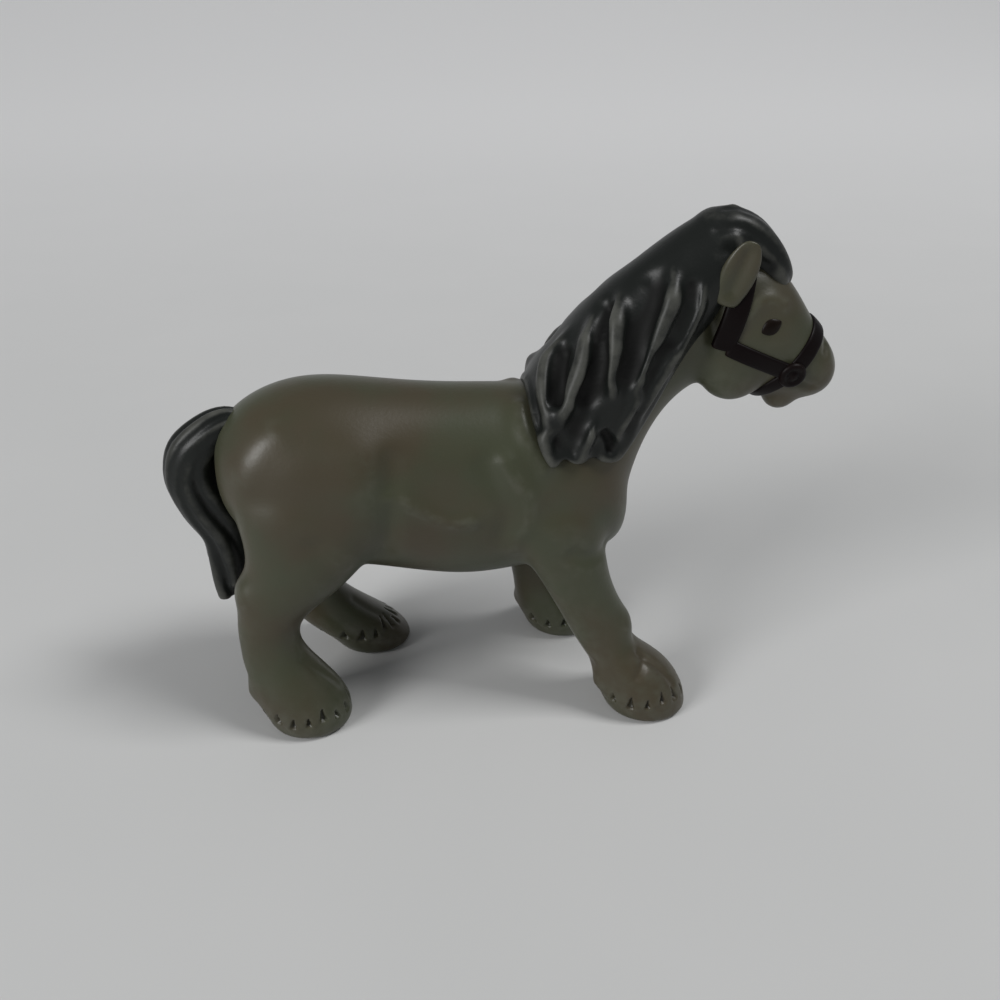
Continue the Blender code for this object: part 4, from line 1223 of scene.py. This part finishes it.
def make_eye(name, side):
    place = head_place(0.425, 0.575)
    centre, normal = thrown(head_tree, place.x / MM, place.z / MM, side)
    turn = Vector((0, side, 0)).rotation_difference(normal).to_matrix()
    tilt = Matrix.Rotation(math.radians(-28), 3, "Y")
    almond = ball(Vector(), Vector((1, 1, 1)))
    points = points_of(almond)
    points[:, 2] *= (1 - np.abs(points[:, 0]) ** 2.5) * 0.55 + 0.45
    points *= EYE_HALVES
    points = points @ np.array(turn @ tilt).T + np.array(centre - normal * 0.12 * MM)
    set_points(almond, points)
    mark_ridges(almond, 8, 0.05 * MM)
    finish_piece(name, almond, eye_paint)


for name, side in (("right_eye", -1), ("left_eye", 1)):
    make_eye(name, side)

# %% [markdown]
# ## Floor, light and background
#
# The figure stands on a plain pale floor. A soft lamp stands in front of it on the left,
# as a window would, another hangs high on the right, and the world adds the rest.

# %% Floor and lights
FLOOR_REACH, FLAT_REACH, FLOOR_HALF = 0.9, 0.3, 1.4


def floor_material():
    made, tree, shader, place, _ = new_material("pale_floor", roughness=0.9)
    cloud = noise(place, 30.0, 2.0)
    near = cloud.blend((0.56, 0.565, 0.56), (0.6, 0.6, 0.595))
    behind = place.node("SeparateXYZ", {"Vector": place}, output="Y")
    feed(tree, shader.inputs["Base Color"], behind.step(0.0, 0.45).blend(near, (0.86, 0.86, 0.86)))
    return made


def sweep_floor():
    """A floor that rises at its far end, so that no horizon shows."""
    bends = [(math.sin(t), 1 - math.cos(t)) for t in np.linspace(0.05, 1.4, 24)]
    profile = [(-FLOOR_REACH, 0.0), (FLAT_REACH, 0.0)]
    profile += [(FLAT_REACH + FLOOR_REACH * y, FLOOR_REACH * z) for y, z in bends]
    bm = bmesh.new()
    left, right = [[bm.verts.new((x, y, z)) for y, z in profile] for x in (-FLOOR_HALF, FLOOR_HALF)]
    for i in range(len(profile) - 1):
        bm.faces.new((left[i], right[i], right[i + 1], left[i + 1]))
    mesh = mesh_from(bm, "floor")
    mesh.polygons.foreach_set("use_smooth", [True] * len(mesh.polygons))
    return mesh


floor = bpy.data.objects.new("floor", sweep_floor())
bpy.context.scene.collection.objects.link(floor)
floor.data.materials.append(floor_material())


def soft_lamp(name, place, size, power):
    """A square area lamp that points at the middle of the figure."""
    data = bpy.data.lights.new(name, "AREA")
    data.size = size
    data.energy = power
    lamp = bpy.data.objects.new(name, data)
    lamp.location = place
    lamp.rotation_euler = (Vector((0, 0, 0.025)) - lamp.location).to_track_quat("-Z", "Y").to_euler()
    bpy.context.scene.collection.objects.link(lamp)


soft_lamp("window", Vector((-0.76, -0.52, 0.45)), 0.42, 6.2)
soft_lamp("top_lamp", Vector((0.5, -0.12, 0.86)), 0.34, 4.6)

world = bpy.data.worlds.new("studio")
world.use_nodes = True
world.node_tree.nodes["Background"].inputs["Color"].default_value = (0.95, 0.97, 1.0, 1.0)
world.node_tree.nodes["Background"].inputs["Strength"].default_value = 0.2
bpy.context.scene.world = world
bpy.context.scene.view_settings.view_transform = "Standard"

# %% [markdown]
# The bench is cleared.

# %% Finish
for obj in list(bench.objects):
    bpy.data.objects.remove(obj, do_unlink=True)
